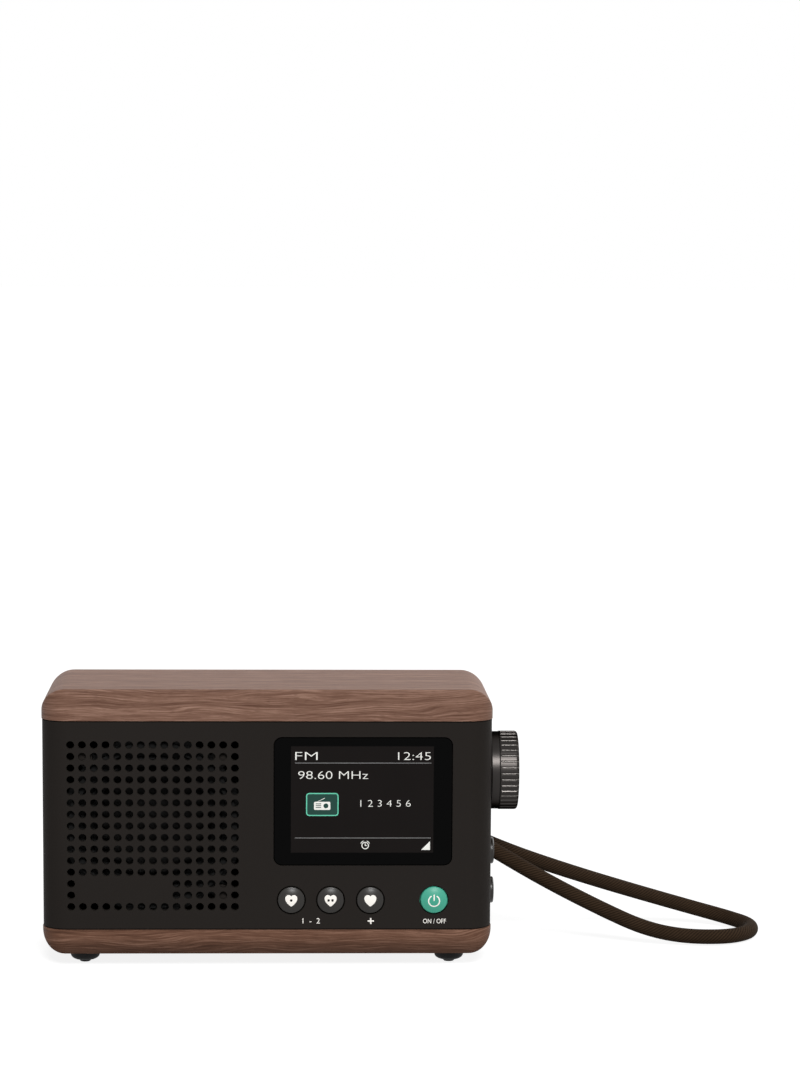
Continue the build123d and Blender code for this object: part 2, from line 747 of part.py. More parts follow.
def side_switches():
    one = Rot(0, 0, 90) * switch_body()
    x = side_board_x + board_thickness + switch_height
    return [Pos(x, side_y, z) * one for z in side_button_zs]


def key_board():
    low, high = key_board_z
    board = block((preset_xs[0] - 7.7, standby_x + 7.9), (key_board_y, key_board_y + board_thickness), (low, high))
    hole = to_back(key_board_y - 1, Circle(small_screw_radius + 0.2), board_thickness + 2)
    return board - [Pos(x, 0, z) * hole for x, z in key_board_places]


side_board_y = (side_y - 13.9, side_y + 6.4)
side_board_z = (20.2, 88.8)


def side_board():
    board = block((side_board_x, side_board_x + board_thickness), side_board_y, side_board_z)
    hole = to_right(side_board_x - 1, Circle(small_screw_radius + 0.2), board_thickness + 2)
    return board - [Pos(0, y, z) * hole for y, z in side_board_places]


def main_board():
    """Main board with its amplifier, processor, coil, capacitors and ribbon connector."""
    board = block(main_board_x, main_board_y, (main_board_z, board_top_z))
    hole = upwards(main_board_z - 1, Circle(small_screw_radius + 0.2), board_thickness + 2)
    board -= [Pos(x, y) * hole for x, y in main_board_places]
    for x, y, width, depth, height in (
        (lens_x, 22.0, 23.0, 4.0, 1.9),
        (17.0, 32.0, 9.0, 9.0, 1.2),
        (57.0, 43.0, 10.0, 10.0, 1.4),
        (60.0, 31.0, 6.0, 6.0, 3.0),
        (6.5, 38.0, 4.0, 8.0, 4.5),
    ):
        low = board_top_z - 0.1
        board += block((x - width / 2, x + width / 2), (y - depth / 2, y + depth / 2), (low, board_top_z + height))
    can = upwards(board_top_z - 0.1, Circle(2.5), 6.1)
    return board + [Pos(x, main_board_y[1] - 4.6) * can for x in (57.5, 64.0, 7.5)]


def receiver_module():
    """Shielded receiver: a can with four cooling holes."""
    can = block((25.0, 49.0), (27.0, 47.0), (board_top_z, board_top_z + 3.2))
    can = fillet(can.edges().filter_by(Axis.Z), 1.0)
    hole = upwards(board_top_z + 2.6, Circle(1.2), 1)
    return can - [Pos(x, y) * hole for x in (29.5, 44.5) for y in (31.0, 43.0)]


def board_screws():
    """Fourteen small screws: display holder, key board, side board and main board."""
    long = board_screw(4.6)
    screws = [Pos(x, holder_y + holder_thickness, z) * Rot(-90, 0, 0) * long for x, z in holder_places]
    back = key_board_y + board_thickness
    screws += [Pos(x, back, z) * Rot(-90, 0, 0) * long for x, z in key_board_places]
    screws += [Pos(side_board_x, y, z) * Rot(0, -90, 0) * long for y, z in side_board_places]
    return screws + [Pos(x, y, board_top_z) * long for x, y in main_board_places]


# ---- Encoder and knob, along the x axis
encoder_x = side_board_x + board_thickness
bushing_end = half_width + bushing_length
encoder_skin = 0.8
encoder_back = encoder_x + encoder_skin
encoder_front = side_wall_x - 0.1
collar_radius = 4.2
collar_x = (encoder_back + 1.85, encoder_front - encoder_skin - 0.1)


def at_knob(shape):
    return Pos(0, side_y, knob_z) * shape


def encoder_body():
    """Square housing behind the wall and threaded bushing through it."""
    body = to_right(encoder_x, Rectangle(encoder_size, encoder_size), encoder_front - encoder_x)
    body += to_right(encoder_front - 0.1, Circle(bushing_radius), bushing_end - encoder_front + 0.1)
    cavity = to_right(encoder_back, Circle(collar_radius + 0.4), encoder_front - encoder_skin - encoder_back)
    bore = to_right(encoder_back, Circle(shaft_radius + running_gap), bushing_end)
    return at_knob(body - cavity - bore)


def encoder_nut():
    """Hexagon nut with its washer face against the cabinet."""
    nut = to_right(half_width, Circle(nut_width / 2 + 1.0), washer_thickness)
    hexagon = RegularPolygon(nut_width / 2, 6, major_radius=False)
    nut += to_right(half_width + washer_thickness - 0.1, hexagon, nut_thickness + 0.1)
    return at_knob(nut - to_right(half_width - 1, Circle(bushing_radius + thread_gap), 5))


def encoder_plunger():
    """Disc that the shaft's collar pushes to work the press switch."""
    start = encoder_back + 0.85
    disc = to_right(start, Circle(collar_radius), collar_x[0] - running_gap - start)
    return at_knob(disc - to_right(start - 1, Circle(1.2), 3))


def shaft_outline(radius, flat):
    """Round section with a flat at the top, in y and z."""
    return Circle(radius) - Pos(0, radius + flat) * Rectangle(3 * radius, 2 * radius)


def encoder_shaft():
    """Shaft with a collar inside the housing and a flat under the knob."""
    flat_x = bushing_end + 0.9
    shaft = to_right(collar_x[0], Circle(shaft_radius), flat_x - collar_x[0])
    shaft += to_right(flat_x, shaft_outline(shaft_radius, shaft_radius - shaft_flat), knob_outer_x - 1.3 - flat_x)
    return at_knob(shaft + to_right(collar_x[0], Circle(collar_radius), collar_x[1] - collar_x[0]))


def knob_groove():
    """Round-bottomed groove along the knob's side, open at the outer end."""
    radius = groove_width / 2
    level = knob_radius - groove_depth + radius
    start = knob_outer_x - groove_length + radius
    tool = to_right(start, Pos(0, level) * Circle(radius), groove_length)
    return tool + to_right(start, Pos(0, level + radius) * Rectangle(2 * radius, 2 * radius), groove_length)


def tuning_knob():
    """Hollow knob: plain skirt, fluted rim, rounded outer edge and a hub that grips the shaft."""
    outer = knob_outer_x
    step = knob_skirt_x + knob_skirt_length
    hub_x = bushing_end + 0.9
    hole = shaft_radius + running_gap
    outline = [(knob_skirt_x, knob_inner_radius), (knob_skirt_x, knob_skirt_radius)]
    outline += [(step, knob_skirt_radius), (step, knob_radius), (outer - knob_edge, knob_radius)]
    outline += [(outer - knob_edge * 0.3, knob_radius - knob_edge * 0.3), (outer, knob_radius - knob_edge)]
    outline += [(outer, 0), (outer - 1.2, 0), (outer - 1.2, hole), (hub_x, hole), (hub_x, knob_hub_radius)]
    outline += [(outer - knob_face, knob_hub_radius), (outer - knob_face, knob_inner_radius)]
    knob = turned(outline, Axis.X)
    flat = shaft_outline(hole, hole) - shaft_outline(hole + 0.1, shaft_radius - shaft_flat + running_gap)
    knob += to_right(hub_x + 0.4, flat, outer - 0.9 - hub_x)
    groove = knob_groove()
    knob -= [Rot(groove_phase + i * 360 / groove_count, 0, 0) * groove for i in range(groove_count)]
    return at_knob(knob)


# ---- Antenna, folded along the back; its hinge is at the origin while it is made
def at_antenna(shape):
    return Pos(antenna_x, antenna_axis_y, antenna_z) * shape


cover_y = body_depth - antenna_axis_y       # the rear cover's outer face, seen from the hinge
eye_length = antenna_eye + 0.5


def antenna_base():
    """Flanged stud through the rear cover, with a bore for the knuckle's axle."""
    base = to_back(cover_y, Circle(stud_flange_radius), stud_flange)
    base += to_back(cover_y - 5.0, Circle(stud_radius), 5.1)
    return at_antenna(base - to_back(cover_y - 6, Circle(axle_radius + running_gap), 9))


def antenna_nut():
    """Nut on the stud, inside the cover."""
    sketch = RegularPolygon(4.6, 6, major_radius=False) - Circle(stud_radius + thread_gap)
    return at_antenna(to_back(cover_y - wall - 1.6 - 2.0, sketch, 2.0))


def antenna_knuckle():
    """Swivelling fork with a riveted axle."""
    start = cover_y + stud_flange + 0.1
    end = -antenna_eye - 0.2
    disc = to_back(start, Circle(fork_gap + fork_skin + 1.05), end - start)
    axle = to_back(cover_y - 5.4, Circle(axle_radius), start - cover_y + 5.5)
    rivet = to_back(cover_y - 5.6, Circle(axle_radius + 0.8), 0.55)
    side = Pos(0, end / 2) * Rectangle(2 * antenna_eye, -end) + Circle(antenna_eye)
    side -= Circle(hinge_pin_radius + thread_gap)
    cheek = upwards(fork_gap, side, fork_skin)
    return at_antenna(disc + axle + rivet + cheek + Pos(0, 0, -2 * fork_gap - fork_skin) * cheek)


def antenna_pin():
    length = 2 * (fork_gap + fork_skin)
    pin = Pos(0, 0, 0.1) * Cylinder(hinge_pin_radius, length + 0.2)
    return at_antenna(pin + Pos(0, 0, length / 2 + 0.3) * Cylinder(hinge_pin_radius + 0.6, 0.5))


def tube(number, start):
    """One telescoping section along -x: number 0 is the outer one."""
    radius = antenna_radii[number]
    end = antenna_reach - antenna_x - antenna_step * number
    bore = Circle(radius - antenna_skin) if number < 3 else None
    rod = to_right(end, Circle(radius), start - end)
    return rod - to_right(end - 1, bore, start - end + 2) if bore else rod


def antenna_tube_1():
    """Outer section with a plugged root, flattened into the hinge's eye."""
    rod = tube(0, -eye_length)
    rod += to_right(-eye_length - 4, Circle(antenna_radii[0]), 4)
    eye = Rectangle(eye_length + 0.2, 2 * antenna_eye)
    eye = Pos(-eye_length / 2 - 0.1, 0) * eye + Circle(antenna_eye) - Circle(hinge_pin_radius + running_gap)
    return at_antenna(rod + upwards(-fork_gap + running_gap, eye, 2 * (fork_gap - running_gap)))


def antenna_tube_2():
    return at_antenna(tube(1, -eye_length - 4.6))


def antenna_tube_3():
    return at_antenna(tube(2, -eye_length - 5.2))


def antenna_tip():
    """Solid inner rod with a rounded end cap."""
    rod = tube(3, -eye_length - 5.8)
    end = antenna_reach - antenna_x - antenna_step * 3
    cap = to_right(end - 4, Circle(antenna_radii[0]), 4)
    return at_antenna(rod + chamfer(cap.edges().filter_by(GeomType.CIRCLE), 0.7))


# ---- Sockets
def headphone_jack():
    width = 2 * jack_nose_radius
    body = block(
        (jack_x - width / 2, jack_x + width / 2),
        (body_depth - 0.2 - jack_bore_length - 1.4, back_wall_y - 0.2),
        (board_top_z, jack_z + jack_nose_radius),
    )
    nose_start = back_wall_y - 0.3
    body += Pos(jack_x, 0, jack_z) * to_back(nose_start, Circle(jack_nose_radius), body_depth - 0.2 - nose_start)
    bore = to_back(body_depth - 0.2 - jack_bore_length, Circle(jack_bore_radius), jack_bore_length + 1)
    return body - Pos(jack_x, 0, jack_z) * bore


def usb_socket():
    """Oval shell with a middle tongue."""
    front = body_depth - 0.3
    back = front - 7.3
    shell = to_back(back, SlotOverall(usb_width, usb_height), 7.3)
    shell -= to_back(back + 0.6, SlotOverall(usb_width - 2 * usb_wall, usb_height - 2 * usb_wall), 8)
    shell += to_back(back + 0.5, Rectangle(6.7, 0.7), 5.8)
    return Pos(usb_x, 0, usb_z) * shell


# ---- Strap
def strap_route():
    """Points the rope goes round: out of the port, down to the table, round the loop and back."""
    lying = rope_diameter / 2 + 0.1
    points = [                     # y counts from the port's middle
        (rope_end_x, -3.3, 47.5),
        (101.5, -3.6, 35.6),
        (121.0, -4.0, 24.6),
        (140.0, -4.5, 15.0),
        (157.0, -5.0, 7.2),
        (173.0, -5.3, 3.6),
        (191.6, -5.6, lying),
        (203.7, 4.2, lying),
        (206.4, 19.6, lying),
        (198.5, 33.1, 3.8),
        (183.8, 38.5, 7.0),
        (163.0, 30.9, 14.2),
        (141.0, 22.3, 22.1),
        (119.0, 13.6, 30.5),
        (98.5, 3.6, 39.3),
        (rope_end_x, 3.1, 46.5),
    ]
    return [(x, port_y + y, z) for x, y, z in points]


def route_radii(route):
    """Radius at each corner: tangent arcs that use most of the shorter run beside the corner."""
    points = [Vector(*p) for p in route]
    radii = []
    for before, here, after in zip(points, points[1:], points[2:]):
        shorter = min((here - before).length, (after - here).length)
        turn = (here - before).get_angle(after - here)
        radii.append(0.45 * shorter / tan(radians(turn) / 2))
    return radii


def strap_rope():
    route = strap_route()
    radii = route_radii(route)
    path = FilletPolyline(*route, radius=radii)
    section = Plane(origin=path @ 0, z_dir=path % 0) * Circle(rope_diameter / 2)
    rope = sweep(section, path)
    print("strap radii", [round(r, 1) for r in radii])
    print("strap length", round(path.length, 1), "tube over section", round(rope.volume / section.area, 1))
    return rope


def strap_grommet():
    """Oval bush in the side wall, with a rounded outer lip."""
    lip = to_right(half_width, port_slot(grommet_skin + grommet_lip), grommet_flange)
    lip = chamfer(lip.edges().group_by(Axis.X)[-1], 0.3)
    bush = to_right(side_wall_x, port_slot(grommet_skin), half_width - side_wall_x + 0.1)
    return lip + bush - to_right(side_wall_x - 1, port_slot(0), 6)


def strap_clamp():
    """Block behind the wall with two sloping blind holes that grip the rope's ends."""
    radius = rope_diameter / 2
    margin = radius + clamp_wall
    route = strap_route()
    front, back = Vector(*route[0]), Vector(*route[-1])
    ys = (front.Y - margin, back.Y + margin - 0.2)
    zs = (port_z - port_height / 2 + 0.6, front.Z + margin + 0.6)
    clamp = block((rope_end_x - 2 * clamp_wall, side_wall_x - 0.1), ys, zs)
    clamp = fillet(clamp.edges().filter_by(Axis.X), 1.5)
    for end, towards in ((front, Vector(*route[1])), (back, Vector(*route[-2]))):
        along = (towards - end).normalized()
        opening = Plane(origin=end - along * running_gap, z_dir=along) * Circle(radius + running_gap)
        clamp -= extrude(opening, 16)
    return clamp


# ---- Leads inside the cabinet
def lead(points, bend):
    path = FilletPolyline(*points, radius=bend)
    return sweep(Plane(origin=path @ 0, z_dir=path % 0) * Circle(lead_radius), path)


def speaker_leads():
    """Two leads from the basket's flange to the main board."""
    start = flange_y + basket_skin
    leads = []
    for angle, back_x, back_z, end_x in ((-20, -7.0, 34.5, 7.2), (-26, -8.5, 31.0, 4.6)):
        ring_middle = (basket_lip + flange_outer) / 2 + 0.55
        x = grille_x + ring_middle * cos(radians(angle))
        z = grille_z + ring_middle * sin(radians(angle))
        points = [(x, start, z), (x, 13, z), (back_x, 22, back_z), (end_x, 27, back_z - 5), (end_x, 27, board_top_z)]
        leads.append(lead(points, 2.0))
    return leads


def battery_leads():
    """Three leads from the contacts' tails straight down to the main board."""
    y = bay_floor_y + tail_y
    leads = []
    for i, z in enumerate(contact_zs):
        x = tail_end_x + 1.4 + 1.3 * i
        leads.append(lead([(tail_end_x, y, z), (x, y, z), (x, y, board_top_z)], 0.9))
    return leads


def antenna_lead():
    """Lead from the antenna's nut to the main board."""
    nut_face = antenna_axis_y + cover_y - wall - 3.6
    z = antenna_z - 3.85
    x, landing_y = main_board_x[1] - 1.1, main_board_y[1] - 7.1
    points = [(antenna_x, nut_face, z), (antenna_x, nut_face - 6, z), (x, nut_face - 6, 60), (x, landing_y, 35)]
    return lead([*points, (x, landing_y, board_top_z)], 2.0)


# ---- Everything by name
parts = {
    "front_cabinet": front_cabinet(),
    "top_panel": top_panel(),
    "bottom_panel": bottom_panel(),
    "rear_cover": rear_cover(),
    "battery_door": battery_door(),
    "rubber_feet": feet(),
    "panel_screws": panel_screws(),
    "rear_screws": rear_screws(),
    "speaker_gasket": speaker_gasket(),
    "speaker_basket": speaker_basket(),
    "speaker_cone": speaker_cone(),
    "speaker_surround": speaker_surround(),
    "speaker_dust_cap": speaker_dust_cap(),
    "speaker_voice_coil": speaker_voice_coil(),
    "speaker_spider": speaker_spider(),
    "speaker_front_plate": speaker_front_plate(),
    "speaker_magnet": speaker_magnet(),
    "speaker_yoke": speaker_yoke(),
    "speaker_screws": speaker_screws(),
    "display_lens": display_lens(),
    "display_gasket": display_gasket(),
    "display_module": display_module(),
    "display_holder": display_holder(),
    "display_ribbon": display_ribbon(),
    "main_board": main_board(),
    "receiver_module": receiver_module(),
    "key_board": key_board(),
    "key_switches": key_switches(),
    "side_board": side_board(),
    "side_switches": side_switches(),
    "board_screws": board_screws(),
    "encoder_body": encoder_body(),
    "encoder_nut": encoder_nut(),
    "encoder_plunger": encoder_plunger(),
    "encoder_shaft": encoder_shaft(),
    "tuning_knob": tuning_knob(),
    "preset_button_1": front_key(preset_xs[0]),
    "preset_button_2": front_key(preset_xs[1]),
    "favourite_button": front_key(preset_xs[2]),
    "standby_button": front_key(standby_x),
    "side_button_upper": side_key(side_button_zs[0]),
    "side_button_lower": side_key(side_button_zs[1]),
    "antenna_base": antenna_base(),
    "antenna_nut": antenna_nut(),
    "antenna_knuckle": antenna_knuckle(),
    "antenna_pin": antenna_pin(),
    "antenna_tube_1": antenna_tube_1(),
    "antenna_tube_2": antenna_tube_2(),
    "antenna_tube_3": antenna_tube_3(),
    "antenna_tip": antenna_tip(),
    "headphone_jack": headphone_jack(),
    "usb_socket": usb_socket(),
    "battery_pack": battery_pack(),
    "battery_contacts": battery_contacts(),
    "strap_rope": strap_rope(),
    "strap_grommet": strap_grommet(),
    "strap_clamp": strap_clamp(),
    "speaker_leads": speaker_leads(),
    "battery_leads": battery_leads(),
    "antenna_lead": antenna_lead(),
}

# ---- Origin: middle of the footprint on the table, without the rope
solids = {name: Compound(children=list(p)) if isinstance(p, list) else p for name, p in parts.items()}
boxes = [shape.bounding_box() for name, shape in solids.items() if name != "strap_rope"]
shift_x = -(min(b.min.X for b in boxes) + max(b.max.X for b in boxes)) / 2
shift_y = -(min(b.min.Y for b in boxes) + max(b.max.Y for b in boxes)) / 2
shift_z = -min(b.min.Z for b in boxes)
print("shift", round(shift_x, 4), round(shift_y, 4), round(shift_z, 4))

os.makedirs("parts", exist_ok=True)
for name, shape in solids.items():
    export_step(Pos(shift_x, shift_y, shift_z) * shape, "parts/" + name + ".step")
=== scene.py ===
import json
import math

import bpy
import bmesh
from mathutils import Matrix, Vector


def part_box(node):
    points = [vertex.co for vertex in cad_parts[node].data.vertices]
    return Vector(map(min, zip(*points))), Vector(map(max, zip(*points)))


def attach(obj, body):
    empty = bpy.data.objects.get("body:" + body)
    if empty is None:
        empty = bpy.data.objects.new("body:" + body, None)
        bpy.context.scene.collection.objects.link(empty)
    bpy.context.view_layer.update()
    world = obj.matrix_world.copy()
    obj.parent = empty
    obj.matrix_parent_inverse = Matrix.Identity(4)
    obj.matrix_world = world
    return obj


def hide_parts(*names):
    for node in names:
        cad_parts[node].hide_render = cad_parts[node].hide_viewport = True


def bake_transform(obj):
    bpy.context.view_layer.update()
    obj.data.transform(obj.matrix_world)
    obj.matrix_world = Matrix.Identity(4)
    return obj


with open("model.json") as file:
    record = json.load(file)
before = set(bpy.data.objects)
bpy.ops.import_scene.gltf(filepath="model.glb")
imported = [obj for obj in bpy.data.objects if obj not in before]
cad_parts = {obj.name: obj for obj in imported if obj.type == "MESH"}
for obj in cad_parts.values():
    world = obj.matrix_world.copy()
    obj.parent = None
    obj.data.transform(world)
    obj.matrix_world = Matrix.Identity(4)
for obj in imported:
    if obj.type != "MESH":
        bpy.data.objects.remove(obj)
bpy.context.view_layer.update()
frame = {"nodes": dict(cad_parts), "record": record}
nodes = frame["nodes"]
print("stage: frame loaded,", len(nodes), "nodes")

mm = 0.001
shellLow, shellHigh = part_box("front_cabinet")
# from the cabinet's middle and its front wall to the shared origin, in millimetres
shift = Vector(((shellLow.x + shellHigh.x) / 2 / mm, shellLow.y / mm, 0.0))


def place(x, y, z):
    return (Vector((x, y, z)) + shift) * mm


# small builders
sharpAngle = math.radians(50)


def newObject(name, data):
    obj = bpy.data.objects.new(name, data)
    bpy.context.collection.objects.link(obj)
    return obj


def evaluated(obj):
    bpy.context.view_layer.update()
    return bpy.data.meshes.new_from_object(obj.evaluated_get(bpy.context.evaluated_depsgraph_get()))


def faceOutward(mesh):
    bm = bmesh.new()
    bm.from_mesh(mesh)
    bmesh.ops.recalc_face_normals(bm, faces=bm.faces)
    bm.to_mesh(mesh)
    bm.free()


def meshFrom(name, verts, faces, smooth=True):
    mesh = bpy.data.meshes.new(name)
    mesh.from_pydata([tuple(v) for v in verts], [], faces)
    mesh.validate()
    faceOutward(mesh)
    if smooth:
        mesh.shade_smooth()
    return mesh


def dress(obj, material):
    obj.data.materials.clear()
    obj.data.materials.append(material)


# camera
cameraSet = {"x": 2.2, "y": -1340.5, "z": 291.1, "yaw": 1.63, "pitch": 7.622, "roll": 0.277,
             "lens": 113.72, "shift": (0.03, 0.15)}


def makeCamera(c):
    data = bpy.data.cameras.new("camera")
    data.sensor_fit = "VERTICAL"
    data.sensor_height = 36.0
    data.lens = c["lens"]
    data.shift_x, data.shift_y = c["shift"]
    data.clip_start = 0.05
    data.clip_end = 60.0
    cam = newObject("camera", data)
    yaw, pitch, roll = (math.radians(c[k]) for k in ("yaw", "pitch", "roll"))
    ahead = Vector((math.sin(yaw) * math.cos(pitch), math.cos(yaw) * math.cos(pitch), -math.sin(pitch)))
    right = ahead.cross(Vector((0, 0, 1))).normalized()
    up = right.cross(ahead)
    r = right * math.cos(roll) + up * math.sin(roll)
    u = up * math.cos(roll) - right * math.sin(roll)
    m = Matrix((r, u, -ahead)).transposed().to_4x4()
    m.translation = place(c["x"], c["y"], c["z"])
    cam.matrix_world = m
    bpy.context.scene.camera = cam


makeCamera(cameraSet)


# node helpers, for shaders and for geometry
def socket(tree, name, kind, inOut, value=None):
    made = tree.interface.new_socket(name=name, in_out=inOut, socket_type=kind)
    if value is not None:
        made.default_value = value


def feed(tree, target, value):
    if isinstance(value, bpy.types.NodeSocket):
        tree.links.new(value, target)
    else:
        target.default_value = value


def addNode(tree, kind, **inputs):
    node = tree.nodes.new(kind)
    for key, value in inputs.items():
        feed(tree, node.inputs[key.replace("_", " ")], value)
    return node


def vectorMath(tree, op, a, b):
    node = tree.nodes.new("ShaderNodeVectorMath")
    node.operation = op
    feed(tree, node.inputs[0], a)
    feed(tree, node.inputs["Scale" if op == "SCALE" else 1], b)
    return node.outputs[0]


def calc(tree, op, a, b=None, c=None):
    node = tree.nodes.new("ShaderNodeMath")
    node.operation = op
    for i, v in enumerate((a, b, c)):
        if v is not None:
            feed(tree, node.inputs[i], v)
    return node.outputs[0]


def plus(tree, a, b):
    return calc(tree, "ADD", a, b)


def minus(tree, a, b):
    return calc(tree, "SUBTRACT", a, b)


def times(tree, a, b):
    return calc(tree, "MULTIPLY", a, b)


def mapRange(tree, value, fromLow, fromHigh, toLow=0.0, toHigh=1.0):
    node = tree.nodes.new("ShaderNodeMapRange")
    for key, v in (("Value", value), ("From Min", fromLow), ("From Max", fromHigh), ("To Min", toLow),
                   ("To Max", toHigh)):
        feed(tree, node.inputs[key], v)
    return node.outputs["Result"]


def mixColor(tree, factor, a, b, mode="MIX"):
    node = tree.nodes.new("ShaderNodeMix")
    node.data_type = "RGBA"
    node.blend_type = mode
    for value, index in ((factor, 0), (a, 6), (b, 7)):
        feed(tree, node.inputs[index], value)
    return node.outputs[2]


def combine(tree, x, y, z):
    node = tree.nodes.new("ShaderNodeCombineXYZ")
    for i, v in enumerate((x, y, z)):
        feed(tree, node.inputs[i], v)
    return node.outputs[0]


def separate(tree, vector):
    node = tree.nodes.new("ShaderNodeSeparateXYZ")
    tree.links.new(vector, node.inputs[0])
    return node.outputs


def noise(tree, vector, scale, detail=2.0, rough=0.5):
    node = addNode(tree, "ShaderNodeTexNoise", Vector=vector, Scale=scale, Detail=detail, Roughness=rough)
    return node.outputs[0]


# floor, backdrop colour and lamps
stageSet = {"floorSize": 40.0, "floorDrop": 0.0004, "floorGlow": 0.86, "floorShade": 0.3, "backdrop": 1.0,
            "fill": 0.14}


def seenDirectly(tree):
    # camera, glossy and transmission rays see the white backdrop
    path = tree.nodes.new("ShaderNodeLightPath")
    first = calc(tree, "MAXIMUM", path.outputs["Is Camera Ray"], path.outputs["Is Glossy Ray"])
    return calc(tree, "MAXIMUM", first, path.outputs["Is Transmission Ray"])


def mixShader(tree, factor, a, b):
    node = tree.nodes.new("ShaderNodeMixShader")
    for i, v in enumerate((factor, a, b)):
        tree.links.new(v, node.inputs[i])
    return node.outputs[0]


def makeStage(s):
    half = s["floorSize"] / 2
    corners = [(-half, -half, 0), (half, -half, 0), (half, half, 0), (-half, half, 0)]
    floor = newObject("floor", meshFrom("floor", corners, [(0, 1, 2, 3)], False))
    floor.location.z = -s["floorDrop"]
    mat = bpy.data.materials.new("floorWhite")
    mat.use_nodes = True
    nt = mat.node_tree
    nt.nodes.clear()
    out = nt.nodes.new("ShaderNodeOutputMaterial")
    shade = s["floorShade"]
    diffuse = addNode(nt, "ShaderNodeBsdfDiffuse", Color=(shade, shade, shade, 1))
    glow = addNode(nt, "ShaderNodeEmission", Color=(1, 1, 1, 1), Strength=s["floorGlow"])
    add = nt.nodes.new("ShaderNodeAddShader")
    nt.links.new(diffuse.outputs[0], add.inputs[0])
    nt.links.new(glow.outputs[0], add.inputs[1])
    mixed = mixShader(nt, seenDirectly(nt), diffuse.outputs[0], add.outputs[0])
    nt.links.new(mixed, out.inputs["Surface"])
    dress(floor, mat)

    world = bpy.data.worlds.new("studio")
    bpy.context.scene.world = world
    world.use_nodes = True
    wt = world.node_tree
    wt.nodes.clear()
    wOut = wt.nodes.new("ShaderNodeOutputWorld")
    plain = addNode(wt, "ShaderNodeBackground", Color=(1, 1, 1, 1), Strength=s["fill"])
    seen = addNode(wt, "ShaderNodeBackground", Color=(1, 1, 1, 1), Strength=s["backdrop"])
    wt.links.new(mixShader(wt, seenDirectly(wt), plain.outputs[0], seen.outputs[0]), wOut.inputs["Surface"])


# broad far-off lamps: from where (degrees round from the front, degrees up), how wide, how strong
lampSet = {
    "keySoft": {"round": 5, "up": 35, "wide": 18, "power": 2.7},
    "sideSoft": {"round": 84, "up": 12, "wide": 12, "power": 0.18},
    "backSoft": {"round": 125, "up": 24, "wide": 35, "power": 1.0},
}


def makeLamps(lamps):
    for name, s in lamps.items():
        data = bpy.data.lights.new(name, "SUN")
        data.angle = math.radians(s["wide"])
        data.energy = s["power"]
        lamp = newObject(name, data)
        a, e = math.radians(s["round"]), math.radians(s["up"])
        towards = Vector((math.sin(a) * math.cos(e), -math.cos(a) * math.cos(e), math.sin(e)))
        lamp.location = towards * 1.5
        lamp.rotation_euler = towards.to_track_quat("Z", "Y").to_euler()


makeStage(stageSet)
makeLamps(lampSet)
bpy.context.scene.view_settings.view_transform = "Standard"
print("stage: camera, floor and lamps")


# shared shader groups
def startGroup(name, inputs, outputs, treeKind="ShaderNodeTree", lead="Vector"):
    tree = bpy.data.node_groups.new(name, treeKind)
    socket(tree, lead, "NodeSocket" + lead, "INPUT")
    for key, kind, value in inputs:
        socket(tree, key, "NodeSocket" + kind, "INPUT", value)
    for key, kind in outputs:
        socket(tree, key, "NodeSocket" + kind, "OUTPUT")
    gin = tree.nodes.new("NodeGroupInput").outputs
    out = tree.nodes.new("NodeGroupOutput").inputs
    return tree, gin, out


finishOutputs = (("Color", "Color"), ("Roughness", "Float"), ("Height", "Float"))


def makeSpeckle():
    # moulded, painted and rubber surfaces
    tree, gin, out = startGroup("speckledFinish", (
        ("Dark", "Color", (0.02, 0.02, 0.02, 1)), ("Light", "Color", (0.03, 0.03, 0.03, 1)),
        ("Scale", "Float", 900.0), ("Rough low", "Float", 0.4), ("Rough high", "Float", 0.5)),
        finishOutputs)
    fine = noise(tree, gin["Vector"], gin["Scale"], 3.0, 0.6)
    broad = noise(tree, gin["Vector"], 14.0)
    blend = calc(tree, "MULTIPLY_ADD", fine, 0.55, times(tree, broad, 0.45))
    tree.links.new(mixColor(tree, blend, gin["Dark"], gin["Light"]), out["Color"])
    tree.links.new(mapRange(tree, blend, 0.0, 1.0, gin["Rough low"], gin["Rough high"]), out["Roughness"])
    tree.links.new(fine, out["Height"])
    return tree


# each layer: how fine along the grain and across it, detail, roughness; then how the layers are mixed
grainSet = {
    "bands": (6.0, 380.0, 2.0, 0.5),
    "flecks": (60.0, 2000.0, 4.0, 0.62),
    "fibres": (300.0, 7000.0, 2.0, 0.6),
    "pores": (260.0, 3300.0, 1.0, 0.5),
    "shares": (0.24, 0.56, 0.18),
    "spread": (0.32, 0.68),
    "poreEdge": (0.6, 0.72),
    "darkEnd": (0.1, 0.5),  # the tones between dark and middle, then between middle and light
    "lightEnd": (0.5, 0.95),
    "wander": (16.0, 60.0, 0.012),  # slow waves: how fine along and across, how far in metres
    "facing": (0.12, 0.3),  # where the front's grain gives way to the top's
    "apart": 0.37,  # keeps the top's pattern apart from the front's
    "shadeRun": 0.0075,
}


